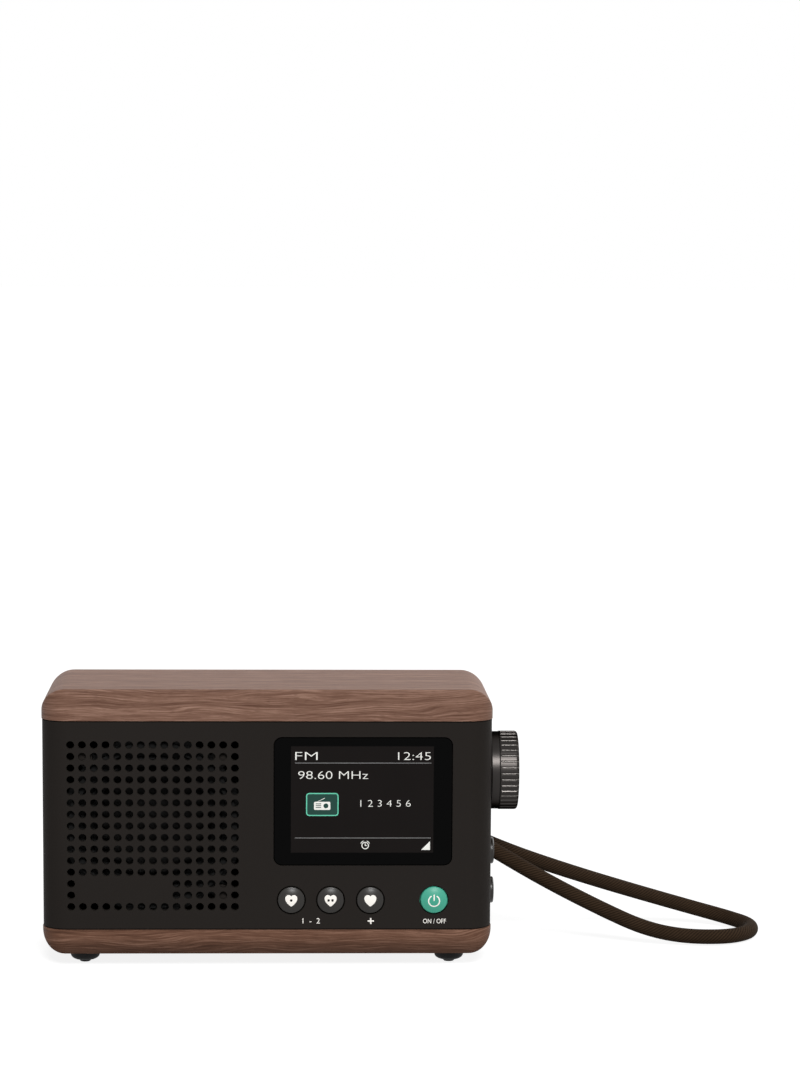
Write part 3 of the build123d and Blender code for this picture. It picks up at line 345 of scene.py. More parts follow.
def makeWoodGrain(s):
    # the top and front grain run along x; round the ends the veneer's grain follows the bend
    tree, gin, out = startGroup("walnutGrain", (
        ("Normal", "Vector", (0, 0, 1)), ("Dark", "Color", (0.07, 0.03, 0.018, 1)),
        ("Middle", "Color", (0.17, 0.09, 0.06, 1)), ("Light", "Color", (0.33, 0.2, 0.15, 1)),
        ("Bend height", "Float", 0.0108), ("Bend start", "Float", 0.081), ("Bend radius", "Float", 0.0102),
        ("Low edge", "Float", -0.01), ("Low shade", "Float", 0.3)), finishOutputs)
    x, y, z = separate(tree, gin["Vector"])
    _, ny, _ = separate(tree, gin["Normal"])
    sideways = calc(tree, "ABSOLUTE", x)
    over = calc(tree, "MAXIMUM", minus(tree, sideways, gin["Bend start"]), 0.0)
    # how far round the end's bend the point lies
    rise = calc(tree, "ABSOLUTE", minus(tree, z, gin["Bend height"]))
    turn = calc(tree, "ARCTAN2", rise, calc(tree, "MAXIMUM", over, 0.0001))
    along = times(tree, minus(tree, math.pi / 2, turn), gin["Bend radius"])
    unrolled = plus(tree, minus(tree, sideways, over), along)
    unrolled = times(tree, unrolled, calc(tree, "SIGN", x))
    facesFront = mapRange(tree, calc(tree, "ABSOLUTE", ny), *s["facing"])
    facesUp = minus(tree, 1.0, facesFront)
    run = plus(tree, times(tree, x, facesFront), times(tree, unrolled, facesUp))
    onTop = plus(tree, y, s["apart"])
    across = plus(tree, times(tree, z, facesFront), times(tree, onTop, facesUp))
    alongWave, acrossWave, reach = s["wander"]
    waves = combine(tree, times(tree, run, alongWave), times(tree, across, acrossWave), gin["Bend height"])
    bent = calc(tree, "MULTIPLY_ADD", noise(tree, waves, 1.0), reach, across)

    def grain(runScale, acrossScale, detail, rough):
        vector = combine(tree, times(tree, run, runScale), times(tree, bent, acrossScale), 0.0)
        return noise(tree, vector, 1.0, detail, rough)

    bands, flecks, fibres, pores = (grain(*s[key]) for key in ("bands", "flecks", "fibres", "pores"))
    pores = mapRange(tree, pores, *s["poreEdge"])
    bandShare, fleckShare, fibreShare = s["shares"]
    tone = times(tree, fibres, fibreShare)
    tone = calc(tree, "MULTIPLY_ADD", mapRange(tree, flecks, *s["spread"]), fleckShare, tone)
    tone = calc(tree, "MULTIPLY_ADD", mapRange(tree, bands, *s["spread"]), bandShare, tone)
    low = mixColor(tree, mapRange(tree, tone, *s["darkEnd"]), gin["Dark"], gin["Middle"])
    base = mixColor(tree, mapRange(tree, tone, *s["lightEnd"]), low, gin["Light"])
    worn = mixColor(tree, times(tree, pores, 0.5), base, gin["Dark"])
    # painted shade: darker towards the lower edge, where less light reaches
    shadeEnd = plus(tree, gin["Low edge"], s["shadeRun"])
    depth = mapRange(tree, z, gin["Low edge"], shadeEnd, gin["Low shade"], 1.0)
    shaded = combine(tree, depth, depth, depth)
    tree.links.new(mixColor(tree, 1.0, worn, shaded, "MULTIPLY"), out["Color"])
    tree.links.new(calc(tree, "MULTIPLY_ADD", fibres, 0.16, 0.4), out["Roughness"])
    tree.links.new(minus(tree, fibres, times(tree, pores, 0.8)), out["Height"])
    return tree


def makeStreaks():
    # drawn, turned and brushed metal
    tree, gin, out = startGroup("turnedStreaks", (
        ("Dark", "Color", (0.3, 0.3, 0.3, 1)), ("Light", "Color", (0.5, 0.5, 0.5, 1)),
        ("Along", "Vector", (60.0, 60.0, 2500.0)), ("Rough low", "Float", 0.2),
        ("Rough high", "Float", 0.35)), finishOutputs)
    lines = noise(tree, vectorMath(tree, "MULTIPLY", gin["Vector"], gin["Along"]), 1.0, 3.0, 0.65)
    tree.links.new(mixColor(tree, lines, gin["Dark"], gin["Light"]), out["Color"])
    tree.links.new(mapRange(tree, lines, 0.0, 1.0, gin["Rough low"], gin["Rough high"]), out["Roughness"])
    tree.links.new(lines, out["Height"])
    return tree


speckle = makeSpeckle()
woodGrain = makeWoodGrain(grainSet)
streaks = makeStreaks()


def startMaterial(name):
    mat = bpy.data.materials.new(name)
    mat.use_nodes = True
    tree = mat.node_tree
    return mat, tree, tree.nodes["Principled BSDF"], tree.nodes.new("ShaderNodeTexCoord").outputs


def groupMaterial(name, group, values, bump=0.0, distance=0.0001, **principled):
    mat, tree, bsdf, coords = startMaterial(name)
    node = tree.nodes.new("ShaderNodeGroup")
    node.node_tree = group
    for key, value in values.items():
        node.inputs[key].default_value = value
    tree.links.new(coords["Object"], node.inputs["Vector"])
    if "Normal" in node.inputs:
        tree.links.new(coords["Normal"], node.inputs["Normal"])
    tree.links.new(node.outputs["Color"], bsdf.inputs["Base Color"])
    tree.links.new(node.outputs["Roughness"], bsdf.inputs["Roughness"])
    if bump:
        bumpNode = addNode(tree, "ShaderNodeBump", Strength=bump, Distance=distance,
                           Height=node.outputs["Height"])
        tree.links.new(bumpNode.outputs["Normal"], bsdf.inputs["Normal"])
    for key, value in principled.items():
        bsdf.inputs[key.replace("_", " ")].default_value = value
    return mat


def speckled(name, dark, light, roughLow, roughHigh, scale=900.0, bump=0.15, **more):
    values = {"Dark": (*dark, 1), "Light": (*light, 1), "Scale": scale, "Rough low": roughLow,
              "Rough high": roughHigh}
    return groupMaterial(name, speckle, values, bump, 0.00006, **more)


def grey(name, low, high, roughLow, roughHigh, *rest, **more):
    return speckled(name, (low, low, low), (high, high, high), roughLow, roughHigh, *rest, **more)


def streaked(name, dark, light, along, roughLow, roughHigh, bump=0.1, **more):
    values = {"Dark": (*dark, 1), "Light": (*light, 1), "Along": along, "Rough low": roughLow,
              "Rough high": roughHigh}
    return groupMaterial(name, streaks, values, bump, 0.00003, **more)


# both panels are as wide; each bends over at its own radius and height; the lower panel's darker colours are
# painted shade
woodSet = {"end": 91.25, "bump": 0.3, "relief": 0.00008, "gloss": 0.1}
topWood = {"radius": 10.2, "bendZ": 113.2 - 10.2, "lowEdge": 0.0,
           "Dark": (0.098, 0.045, 0.029), "Middle": (0.215, 0.115, 0.08), "Light": (0.44, 0.27, 0.202)}
shadedLowWood = {"radius": 9.4, "bendZ": 5.4 + 9.4, "lowEdge": 5.0,
           "Dark": (0.068, 0.03, 0.018), "Middle": (0.15, 0.073, 0.046), "Light": (0.325, 0.18, 0.125)}


def walnut(name, s, panel):
    values = {"Bend height": panel["bendZ"] * mm, "Bend start": (s["end"] - panel["radius"]) * mm,
              "Bend radius": panel["radius"] * mm, "Low edge": panel["lowEdge"] * mm}
    values.update({key: (*panel[key], 1) for key in ("Dark", "Middle", "Light")})
    return groupMaterial(name, woodGrain, values, s["bump"], s["relief"], Specular_IOR_Level=s["gloss"])


cabinetSpec = 0.03  # the moulding has hardly any gloss

# speckled: dark, light, roughness from and to, fineness, bump; grey: the same, one number for a colour
# streaked: dark, light, how fine along x, y and z, roughness from and to, bump
finishes = {
    "cabinet_plastic": speckled("cabinetPlastic", (0.0172, 0.0146, 0.0129), (0.0236, 0.0202, 0.0182),
                                0.5, 0.62, 1500.0, 0.22, Specular_IOR_Level=cabinetSpec),
    "walnut": walnut("walnut", woodSet, topWood),
    "soft_rubber": grey("softRubber", 0.006, 0.012, 0.55, 0.75, Specular_IOR_Level=0.2),
    "zinc_steel": streaked("zincSteel", (0.4, 0.4, 0.41), (0.6, 0.6, 0.6), (900.0, 900.0, 900.0), 0.25, 0.42,
                           Metallic=1.0),
    "foam": grey("foam", 0.006, 0.013, 0.8, 0.95, 700.0, 0.5, Specular_IOR_Level=0.1),
    "pressed_steel": grey("lacqueredSteel", 0.005, 0.009, 0.4, 0.55, Specular_IOR_Level=0.15),
    "cone_paper": speckled("conePaper", (0.006, 0.006, 0.006), (0.014, 0.013, 0.012), 0.75, 0.9, 500.0, 0.5,
                           Specular_IOR_Level=0.2),
    "coil_copper": streaked("coilCopper", (0.4, 0.16, 0.07), (0.65, 0.3, 0.15), (20.0, 6000.0, 20.0),
                            0.25, 0.4, Metallic=1.0),
    "spider_cloth": speckled("spiderCloth", (0.4, 0.26, 0.08), (0.6, 0.42, 0.16), 0.8, 0.95, 1200.0, 0.4),
    "soft_iron": streaked("softIron", (0.35, 0.35, 0.35), (0.55, 0.55, 0.55), (300.0, 2000.0, 300.0),
                          0.3, 0.45, Metallic=1.0),
    "ferrite": speckled("ferrite", (0.03, 0.03, 0.033), (0.07, 0.07, 0.075), 0.6, 0.8, 400.0, 0.3),
    "display_glass": grey("displayGlass", 0.012, 0.02, 0.15, 0.25),
    "inner_plastic": grey("innerPlastic", 0.02, 0.035, 0.5, 0.65),
    "flat_cable": streaked("flatCable", (0.35, 0.15, 0.03), (0.5, 0.24, 0.06), (3000.0, 10.0, 10.0),
                           0.35, 0.5),
    "circuit_board": speckled("circuitBoard", (0.01, 0.09, 0.045), (0.02, 0.15, 0.08), 0.3, 0.45, 160.0),
    "tin_shield": streaked("tinShield", (0.5, 0.5, 0.51), (0.68, 0.68, 0.68), (80.0, 1500.0, 80.0),
                           0.22, 0.38, Metallic=1.0),
    "switch_plastic": grey("switchPlastic", 0.02, 0.04, 0.45, 0.6),
    "nickel": streaked("nickel", (0.5, 0.49, 0.46), (0.68, 0.66, 0.62), (1500.0, 200.0, 200.0), 0.2, 0.35,
                       Metallic=1.0),
    "bright_chrome": streaked("brightChrome", (0.62, 0.62, 0.63), (0.78, 0.78, 0.78), (10.0, 900.0, 900.0),
                              0.08, 0.18, 0.04, Metallic=1.0),
    "socket_plastic": grey("socketPlastic", 0.012, 0.02, 0.35, 0.5),
    "battery_sleeve": speckled("batterySleeve", (0.06, 0.18, 0.32), (0.1, 0.26, 0.44), 0.25, 0.4, 120.0),
    "spring_metal": streaked("springMetal", (0.6, 0.45, 0.18), (0.8, 0.62, 0.3), (900.0, 900.0, 200.0),
                             0.2, 0.35, Metallic=1.0),
    "key_dark": speckled("keyDark", (0.011, 0.0093, 0.0078), (0.016, 0.0137, 0.0118), 0.26, 0.32, 1600.0, 0.0,
                         Specular_IOR_Level=0.38),
    "key_green": speckled("keyGreen", (0.05, 0.36, 0.245), (0.066, 0.42, 0.295), 0.3, 0.4, 1600.0, 0.06,
                          Specular_IOR_Level=0.4),
    "lead_skin": speckled("leadSkin", (0.2, 0.012, 0.012), (0.32, 0.02, 0.02), 0.35, 0.5),
    "knob_metal": streaked("knobMetal", (0.03, 0.0272, 0.0258), (0.039, 0.0357, 0.034), (3000.0, 60.0, 60.0),
                           0.3, 0.36, 0.04, Metallic=1.0, Specular_Tint=(0.1, 0.095, 0.09, 1)),
}
# the lower panel's walnut: darker colours than the top's, as painted shade
shadedLowWalnut = walnut("walnutLow", woodSet, shadedLowWood)
print("stage: materials")


# lens with its lit area
lensSet = {"litX": (9.5, 67.0), "litZ": (46.8, 90.2), "glass": (0.001, 0.001, 0.001),
           "lit": (0.0105, 0.0085, 0.008), "gloss": 0.035}


def rectangleMask(tree, x, z, xs, zs):
    ox = calc(tree, "ABSOLUTE", minus(tree, x, (sum(xs) / 2 + shift.x) * mm))
    oz = calc(tree, "ABSOLUTE", minus(tree, z, sum(zs) / 2 * mm))
    inX = calc(tree, "LESS_THAN", ox, (xs[1] - xs[0]) / 2 * mm)
    return times(tree, inX, calc(tree, "LESS_THAN", oz, (zs[1] - zs[0]) / 2 * mm))


def makeLensMaterial(s):
    mat, tree, bsdf, coords = startMaterial("displayLens")
    x, _, z = separate(tree, coords["Object"])
    mask = rectangleMask(tree, x, z, s["litX"], s["litZ"])
    smear = noise(tree, coords["Object"], 60.0, 3.0)
    darker, lighter = ((*(c * k for c in s["lit"]), 1) for k in (0.9, 1.1))
    shown = mixColor(tree, smear, darker, lighter)
    tree.links.new(mixColor(tree, mask, (*s["glass"], 1), shown), bsdf.inputs["Base Color"])
    tree.links.new(calc(tree, "MULTIPLY_ADD", smear, 0.03, 0.05), bsdf.inputs["Roughness"])
    bsdf.inputs["Specular IOR Level"].default_value = s["gloss"]
    return mat


finishes["lens_gloss"] = makeLensMaterial(lensSet)

for entry in frame["record"]["subparts"]:
    name, slotName = entry["node"], entry["material_slot"]
    if slotName in finishes:
        dress(nodes[name], finishes[slotName])
dress(nodes["bottom_panel"], shadedLowWalnut)


# printed marks
def inkMaterial(name, colour, glow=0.0, rough=0.5):
    mat, tree, bsdf, coords = startMaterial(name)
    grain = noise(tree, coords["Object"], 1400.0)
    dim = tuple(c * 0.9 for c in colour)
    tree.links.new(mixColor(tree, grain, (*dim, 1), (*colour, 1)), bsdf.inputs["Base Color"])
    bsdf.inputs["Roughness"].default_value = rough
    bsdf.inputs["Specular IOR Level"].default_value = 0.2
    if glow:
        bsdf.inputs["Emission Color"].default_value = (*colour, 1)
        bsdf.inputs["Emission Strength"].default_value = glow
    return mat


# white print on the keys and labels, with a painted glow though it is no lamp
inkWhite = inkMaterial("inkWhite", (0.85, 0.82, 0.77), 0.3)
inkBlack = inkMaterial("inkBlack", (0.012, 0.011, 0.01))
glowWhite = inkMaterial("glowWhite", (0.6, 0.6, 0.57), 0.6)
glowDim = inkMaterial("glowDim", (0.2, 0.2, 0.2), 0.4)
glowMint = inkMaterial("glowMint", (0.11, 0.48, 0.33), 0.4)
glowGreen = inkMaterial("glowGreen", (0.01, 0.045, 0.035), 0.2)


def fromText(words, height, thin=0.0):
    curve = bpy.data.curves.new("words", "FONT")
    curve.body = words
    curve.size = 1.0
    curve.offset = -thin
    curve.resolution_u = 4
    obj = newObject("words", curve)
    mesh = evaluated(obj)
    bpy.data.objects.remove(obj)
    bpy.data.curves.remove(curve)
    xs = [v.co.x for v in mesh.vertices]
    ys = [v.co.y for v in mesh.vertices]
    scale = height / (max(ys) - min(ys))
    points = [((v.co.x - min(xs)) * scale, (v.co.y - min(ys)) * scale) for v in mesh.vertices]
    faces = [tuple(p.vertices) for p in mesh.polygons]
    bpy.data.meshes.remove(mesh)
    return points, faces


def flatFacing(name, points, faces, x, y, z, material, body="cabinet", width=None):
    # flat artwork drawn in x and z, facing the front
    if width:
        span = max(p[0] for p in points)
        points = [(p[0] * width / span, *p[1:]) for p in points]
    mesh = bpy.data.meshes.new(name)
    mesh.from_pydata([tuple(place(x + p[0], y - sum(p[2:]), z + p[1])) for p in points], [], faces)
    mesh.update()
    bm = bmesh.new()
    bm.from_mesh(mesh)
    bmesh.ops.remove_doubles(bm, verts=bm.verts, dist=1e-7)
    for f in bm.faces:
        f.normal_update()
        if f.normal.y > 0:
            f.normal_flip()
    bm.to_mesh(mesh)
    bm.free()
    obj = newObject(name, mesh)
    dress(obj, material)
    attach(obj, body)


def outlineShape(points):
    return points, [tuple(range(len(points)))]


def bar(x0, z0, x1, z1):
    return outlineShape([(x0, z0), (x1, z0), (x1, z1), (x0, z1)])


def arc(cx, cy, radius, start, end, steps):
    turns = (math.radians(start + (end - start) * i / steps) for i in range(steps + 1))
    return [(cx + radius * math.cos(a), cy + radius * math.sin(a)) for a in turns]


def roundedBar(width, height, radius):
    points = []
    for cx, cz, start in ((width - radius, radius, -90), (width - radius, height - radius, 0),
                          (radius, height - radius, 90), (radius, radius, 180)):
        points += arc(cx, cz, radius, start, start + 90, 6)
    return outlineShape(points)


def ringShape(outer, inner, start=0.0, end=360.0, steps=40):
    points, faces = [], []
    for far, near in zip(arc(0, 0, outer, start, end, steps), arc(0, 0, inner, start, end, steps)):
        points += [far, near]
    for i in range(steps):
        faces.append((2 * i, 2 * i + 2, 2 * i + 3, 2 * i + 1))
    return points, faces


screenSet = {
    "level": 0.06,  # just in front of the lens
    "thin": 0.014,
    "words": (("band", "FM", 11.2, 84.65, 3.2, 9.0), ("clock", "12:45", 52.6, 84.65, 3.2, 13.2),
              ("line", "98.60 MHz", 12.4, 76.9, 3.2, 28.2), ("note", "1 2 3 4 5 6", 37.5, 65.6, 2.7, 20.3)),
    "rules": (83.4, 52.8),
    "ruleX": (11.1, 66.0),
    "icon": (15.6, 61.8, 13.1, 9.4),
    "iconEdge": 0.45,
    "receiver": (3.2, 2.5, 6.6, 3.3, 0.5),
    "dial": (8.0, 4.15, 1.0),
    "bars": (3.9, 3.3, 0.75, 2.2, 0.32),  # where, spacing, width and height
    "rod": (4.2, 5.7, [(0, 0), (0.3, 0), (3.4, 1.5), (3.2, 1.7)]),
    "alarm": (39.5, 49.7),
    "alarmRing": (1.5, 1.15),
    "hands": [(-0.15, -0.15), (0.75, -0.15), (0.75, 0.15), (0.15, 0.15), (0.15, 1.0), (-0.15, 1.0)],
    "bell": (2.1, 1.8, 65, 20),  # radii and the turn either side of upright
    "corner": (62.1, 47.9, 3.6),
}


def makeScreen(s):
    y = s["level"]
    for key, words, x, z, height, width in s["words"]:
        flatFacing("screen_" + key, *fromText(words, height, s["thin"]), x, y, z, glowWhite, width=width)
    left, right = s["ruleX"]
    for i, z in enumerate(s["rules"]):
        flatFacing("screen_rule_%d" % (i + 1), *bar(0, -0.11, right - left, 0.11), left, y, z, glowDim)
    x, z, width, height = s["icon"]
    edge = s["iconEdge"]
    flatFacing("screen_icon_edge", *roundedBar(width, height, 1.3), x, y, z, glowMint)
    flatFacing("screen_icon_fill", *roundedBar(width - 2 * edge, height - 2 * edge, 2 * edge), x + edge,
               y - 0.01, z + edge, glowGreen)
    # a plain picture of a small receiver
    across, up, *size = s["receiver"]
    flatFacing("screen_icon_body", *roundedBar(*size), x + across, y - 0.02, z + up, glowWhite)
    across, up, radius = s["dial"]
    flatFacing("screen_icon_dial", *ringShape(radius, 0.0, 0, 360, 20), x + across, y - 0.03, z + up,
               glowGreen)
    across, up, spacing, *size = s["bars"]
    for i in range(3):
        flatFacing("screen_icon_bar_%d" % (i + 1), *bar(0, 0, *size), x + across, y - 0.03,
                   z + up + spacing * i, glowGreen)
    across, up, rod = s["rod"]
    flatFacing("screen_icon_rod", *outlineShape(rod), x + across, y - 0.02, z + up, glowWhite)
    # alarm sign and corner mark
    x, z = s["alarm"]
    flatFacing("screen_alarm_ring", *ringShape(*s["alarmRing"]), x, y, z, glowWhite)
    flatFacing("screen_alarm_hands", *outlineShape(s["hands"]), x, y, z, glowWhite)
    outer, inner, low, high = s["bell"]
    for side in (-1, 1):
        bell = ringShape(outer, inner, 90 - side * low, 90 - side * high, 8)
        flatFacing("screen_alarm_bell_%d" % (side + 2), *bell, x, y, z, glowWhite)
    x, z, size = s["corner"]
    flatFacing("screen_corner", *outlineShape([(0, 0), (size, 0), (size, size)]), x, y, z, glowWhite)


makeScreen(screenSet)
print("stage: screen")


# keys
keySet = {
    "z": 27.3,
    "hearts": (("preset_button_1", "preset_1", 9.7, 1), ("preset_button_2", "preset_2", 25.6, 2),
               ("favourite_button", "favourite", 41.7, 0)),
    "standby": ("standby_button", "standby", 67.5),
    "side": (("side_button_upper", "side_upper", 41.9), ("side_button_lower", "side_lower", 25.4)),
    "radius": 5.5,
    "proud": 1.09,
    "sideProud": 2.8,
    "wall": 2.4,
    "rim": 0.75,
    "crown": 0.9,  # how much the face rises to its middle
    "sideCrown": 0.3,
    "faceRings": (0, 1.2, 2.3, 3.3, 4.1),
    "flange": 1.0,  # the hidden flange's width and thickness
    "sideX": 91.0,
    "sideY": 32.5,
    "artLift": 0.03,
    "heartUp": -0.1,
    "dotAt": (0.1, 0.07),  # up from the key's middle, and out from the heart
    "signAt": (-0.2, 0.01),
    "heart": (4.85, 4.7),
    "lobe": (1.2, 1.0, 1.5),  # a lobe's middle and radius, before the heart takes its size
    "flank": ((2.62, -0.75), (0.36, -2.42)),
    "tip": [(0.19, -2.54), (0.0, -2.58)],
    "dot": (0.52, 1.6),  # radius and spacing
    "ring": (2.45, 1.98, 118, 422),
    "stroke": (0.24, 0.1, 0.25, 10),  # half width, lower end, length of a step, steps
}


def turnedMesh(profile, steps=72):
    # profile of (radius, height) points; closed at both ends on the axis
    verts, faces, rings = [], [], []
    for r, h in profile:
        if r < 1e-6:
            rings.append([len(verts)])
            verts.append((0, 0, h))
        else:
            rings.append(list(range(len(verts), len(verts) + steps)))
            verts += [(px, py, h) for px, py in arc(0, 0, r, 0, 360, steps)[:-1]]
    for a, b in zip(rings, rings[1:]):
        for i in range(steps):
            j = (i + 1) % steps
            if len(a) == 1:
                faces.append((a[0], b[i], b[j]))
            elif len(b) == 1:
                faces.append((a[i], a[j], b[0]))
            else:
                faces.append((a[i], a[j], b[j], b[i]))
    return verts, faces


def keyProfile(s, proud):
    # heights count outwards from the wall's outer face
    edge = s["radius"] - s["rim"]
    low = proud - s["crown"]
    face = [(r, low + s["crown"] * (1 - (r / edge) ** 2)) for r in (*s["faceRings"], edge - 0.12)]
    rim = [(edge + s["rim"] * math.sin(math.radians(a)), low - s["rim"] * (1 - math.cos(math.radians(a))))
           for a in range(6, 91, 12)]
    foot = -s["wall"] - 0.1
    back = foot - s["flange"]
    wide = s["radius"] + s["flange"]
    return face + rim + [(s["radius"], foot), (wide, foot), (wide, back), (0, back)]


def onCrown(s, points):
    # lay artwork on the key's domed face
    edge = s["radius"] - s["rim"]
    return [(x, z, -s["crown"] * (x * x + z * z) / edge ** 2) for x, z in points]


def filledRings(outline):
    # fill an outline with rings round its middle, so that it can follow a dome
    rings = [[(x * k, z * k) for x, z in outline] for k in (1.0, 0.75, 0.5, 0.25)]
    points = [p for ring in rings for p in ring] + [(0.0, 0.0)]
    n, last = len(outline), len(rings) - 1
    faces = []
    for k in range(last):
        a, b = k * n, (k + 1) * n
        faces += [(a + i, a + (i + 1) % n, b + (i + 1) % n, b + i) for i in range(n)]
    faces += [(last * n + i, last * n + (i + 1) % n, len(rings) * n) for i in range(n)]
    return points, faces


def replaceNode(node, mesh, slotName, body):
    piece = newObject(mesh.name, mesh)
    dress(piece, finishes[slotName])
    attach(piece, body)
    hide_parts(node)
    return piece


def heartShape(s):
    # two round lobes, full flanks and a rounded tip; the right half first, then its mirror
    half = arc(*s["lobe"], 143, -8, 20)
    (x0, z0), (x1, z1), (x2, z2) = half[-1], *s["flank"]
    for i in range(1, 13):
        k = i / 12
        half.append(((1 - k) ** 2 * x0 + 2 * k * (1 - k) * x1 + k * k * x2,
                     (1 - k) ** 2 * z0 + 2 * k * (1 - k) * z1 + k * k * z2))
    half += s["tip"]
    half = [(x, z) for x, z in half if x > -1e-6]
    whole = half + [(-x, z) for x, z in reversed(half) if x > 1e-3]
    xs, zs = zip(*whole)
    width, height = s["heart"]
    wide, tall = width / (max(xs) - min(xs)), height / (max(zs) - min(zs))
    return [(x * wide, (z - (max(zs) + min(zs)) / 2) * tall) for x, z in whole]


def makeKeys(s):
    front = [(n, b, x, "key_dark") for n, b, x, _ in s["hearts"]] + [(*s["standby"], "key_green")]
    verts, faces = turnedMesh(keyProfile(s, s["proud"]))
    for node, body, x, slotName in front:
        points = [place(x + vx, -vz, s["z"] + vy) for vx, vy, vz in verts]
        replaceNode(node, meshFrom(node + "_cap", points, faces), slotName, body)
    verts, faces = turnedMesh(keyProfile(dict(s, crown=s["sideCrown"]), s["sideProud"]))
    for node, body, z in s["side"]:
        points = [place(s["sideX"] + vz, s["sideY"] + vx, z + vy) for vx, vy, vz in verts]
        replaceNode(node, meshFrom(node + "_cap", points, faces), "key_dark", body)
    makeKeyArt(s, -s["proud"] - s["artLift"])


def makeKeyArt(s, y):
    (dotUp, dotOut), (signUp, signOut) = s["dotAt"], s["signAt"]
    radius, spacing = s["dot"]
    for node, body, x, dots in s["hearts"]:
        points, faces = filledRings(heartShape(s))
        flatFacing(node + "_heart", onCrown(s, points), faces, x, y, s["z"] + s["heartUp"], inkWhite, body)
        for i in range(dots):
            offset = (i - (dots - 1) / 2) * spacing
            flatFacing("%s_dot_%d" % (node, i + 1), *ringShape(radius, 0.0, 0, 360, 16), x + offset,
                       y - dotOut, s["z"] + dotUp, inkBlack, body)
    node, body, x = s["standby"]
    half, low, step, steps = s["stroke"]
    stroke = [(side, low + step * i) for i in range(steps + 1) for side in (-half, half)]
    strokeFaces = [(2 * i, 2 * i + 1, 2 * i + 3, 2 * i + 2) for i in range(steps)]
    for name, (points, faces) in (("ring", ringShape(*s["ring"], 40)), ("stroke", (stroke, strokeFaces))):
        flatFacing("%s_%s" % (node, name), onCrown(s, points), faces, x, y - signOut, s["z"] + signUp,
                   inkWhite, body)


makeKeys(keySet)


labelSet = {
    "y": -0.03,
    "words": (("numbers", "1  -  2", 14.3, 17.7, 2.2, None), ("switch", "ON / OFF", 63.1, 17.7, 1.9, 9.3)),
    "plus": (41.9, 18.7, 1.25, 0.27),
}


def makeLabels(s):
    for key, words, x, z, height, width in s["words"]:
        flatFacing("label_" + key, *fromText(words, height), x, s["y"], z, inkWhite, width=width)
    x, z, reach, half = s["plus"]
    flatFacing("label_plus_flat", *bar(-reach, -half, reach, half), x, s["y"], z, inkWhite)
    flatFacing("label_plus_upright", *bar(-half, -reach, half, reach), x, s["y"] - 0.005, z, inkWhite)


makeLabels(labelSet)
print("stage: keys and labels")


# geometry node helpers
def startGrowth(name, inputs):
    return startGroup(name, inputs, (("Geometry", "Geometry"),), "GeometryNodeTree", "Geometry")


def endGrowth(tree, geometry, material, out):
    real = addNode(tree, "GeometryNodeRealizeInstances", Geometry=geometry)
    paint = addNode(tree, "GeometryNodeSetMaterial", Geometry=real.outputs[0], Material=material)
    tree.links.new(paint.outputs[0], out["Geometry"])


def grow(name, source, tree, values):
    # run a geometry node tree on an object and keep only the plain mesh
    modifier = source.modifiers.new("grow", "NODES")
    modifier.node_group = tree
    for item in tree.interface.items_tree:
        if item.item_type == "SOCKET" and item.in_out == "INPUT" and item.name in values:
            modifier[item.identifier] = values[item.name]
    mesh = evaluated(source)
    mesh.name = name
    source.modifiers.remove(modifier)
    data = source.data
    bpy.data.objects.remove(source)
    if isinstance(data, bpy.types.Mesh):
        bpy.data.meshes.remove(data)
    else:
        bpy.data.curves.remove(data)
    return mesh


# tuning knob
# bare is the colour of the painted highlight in the grooves, bareEdge where it fades in
knobSet = {"y": 32.5, "z": 75.6, "start": 91.6, "step": 95.1, "end": 102.9, "radius": 16.2, "skirt": 16.0,
           "edge": 1.3, "face": 99.9, "bore": 13.2, "faceRings": (14.4, 14.0, 9.0, 4.0, 0.0), "steps": 720,
           "bare": (0.13, 0.122, 0.115), "bareEdge": (0.35, 0.9)}
flutingSet = {"Grooves": 40, "Depth": 0.45, "Share": 0.27, "Phase": 5.8, "Start": 95.4, "Run in": 0.5,
              "Inner radius": 14.6}


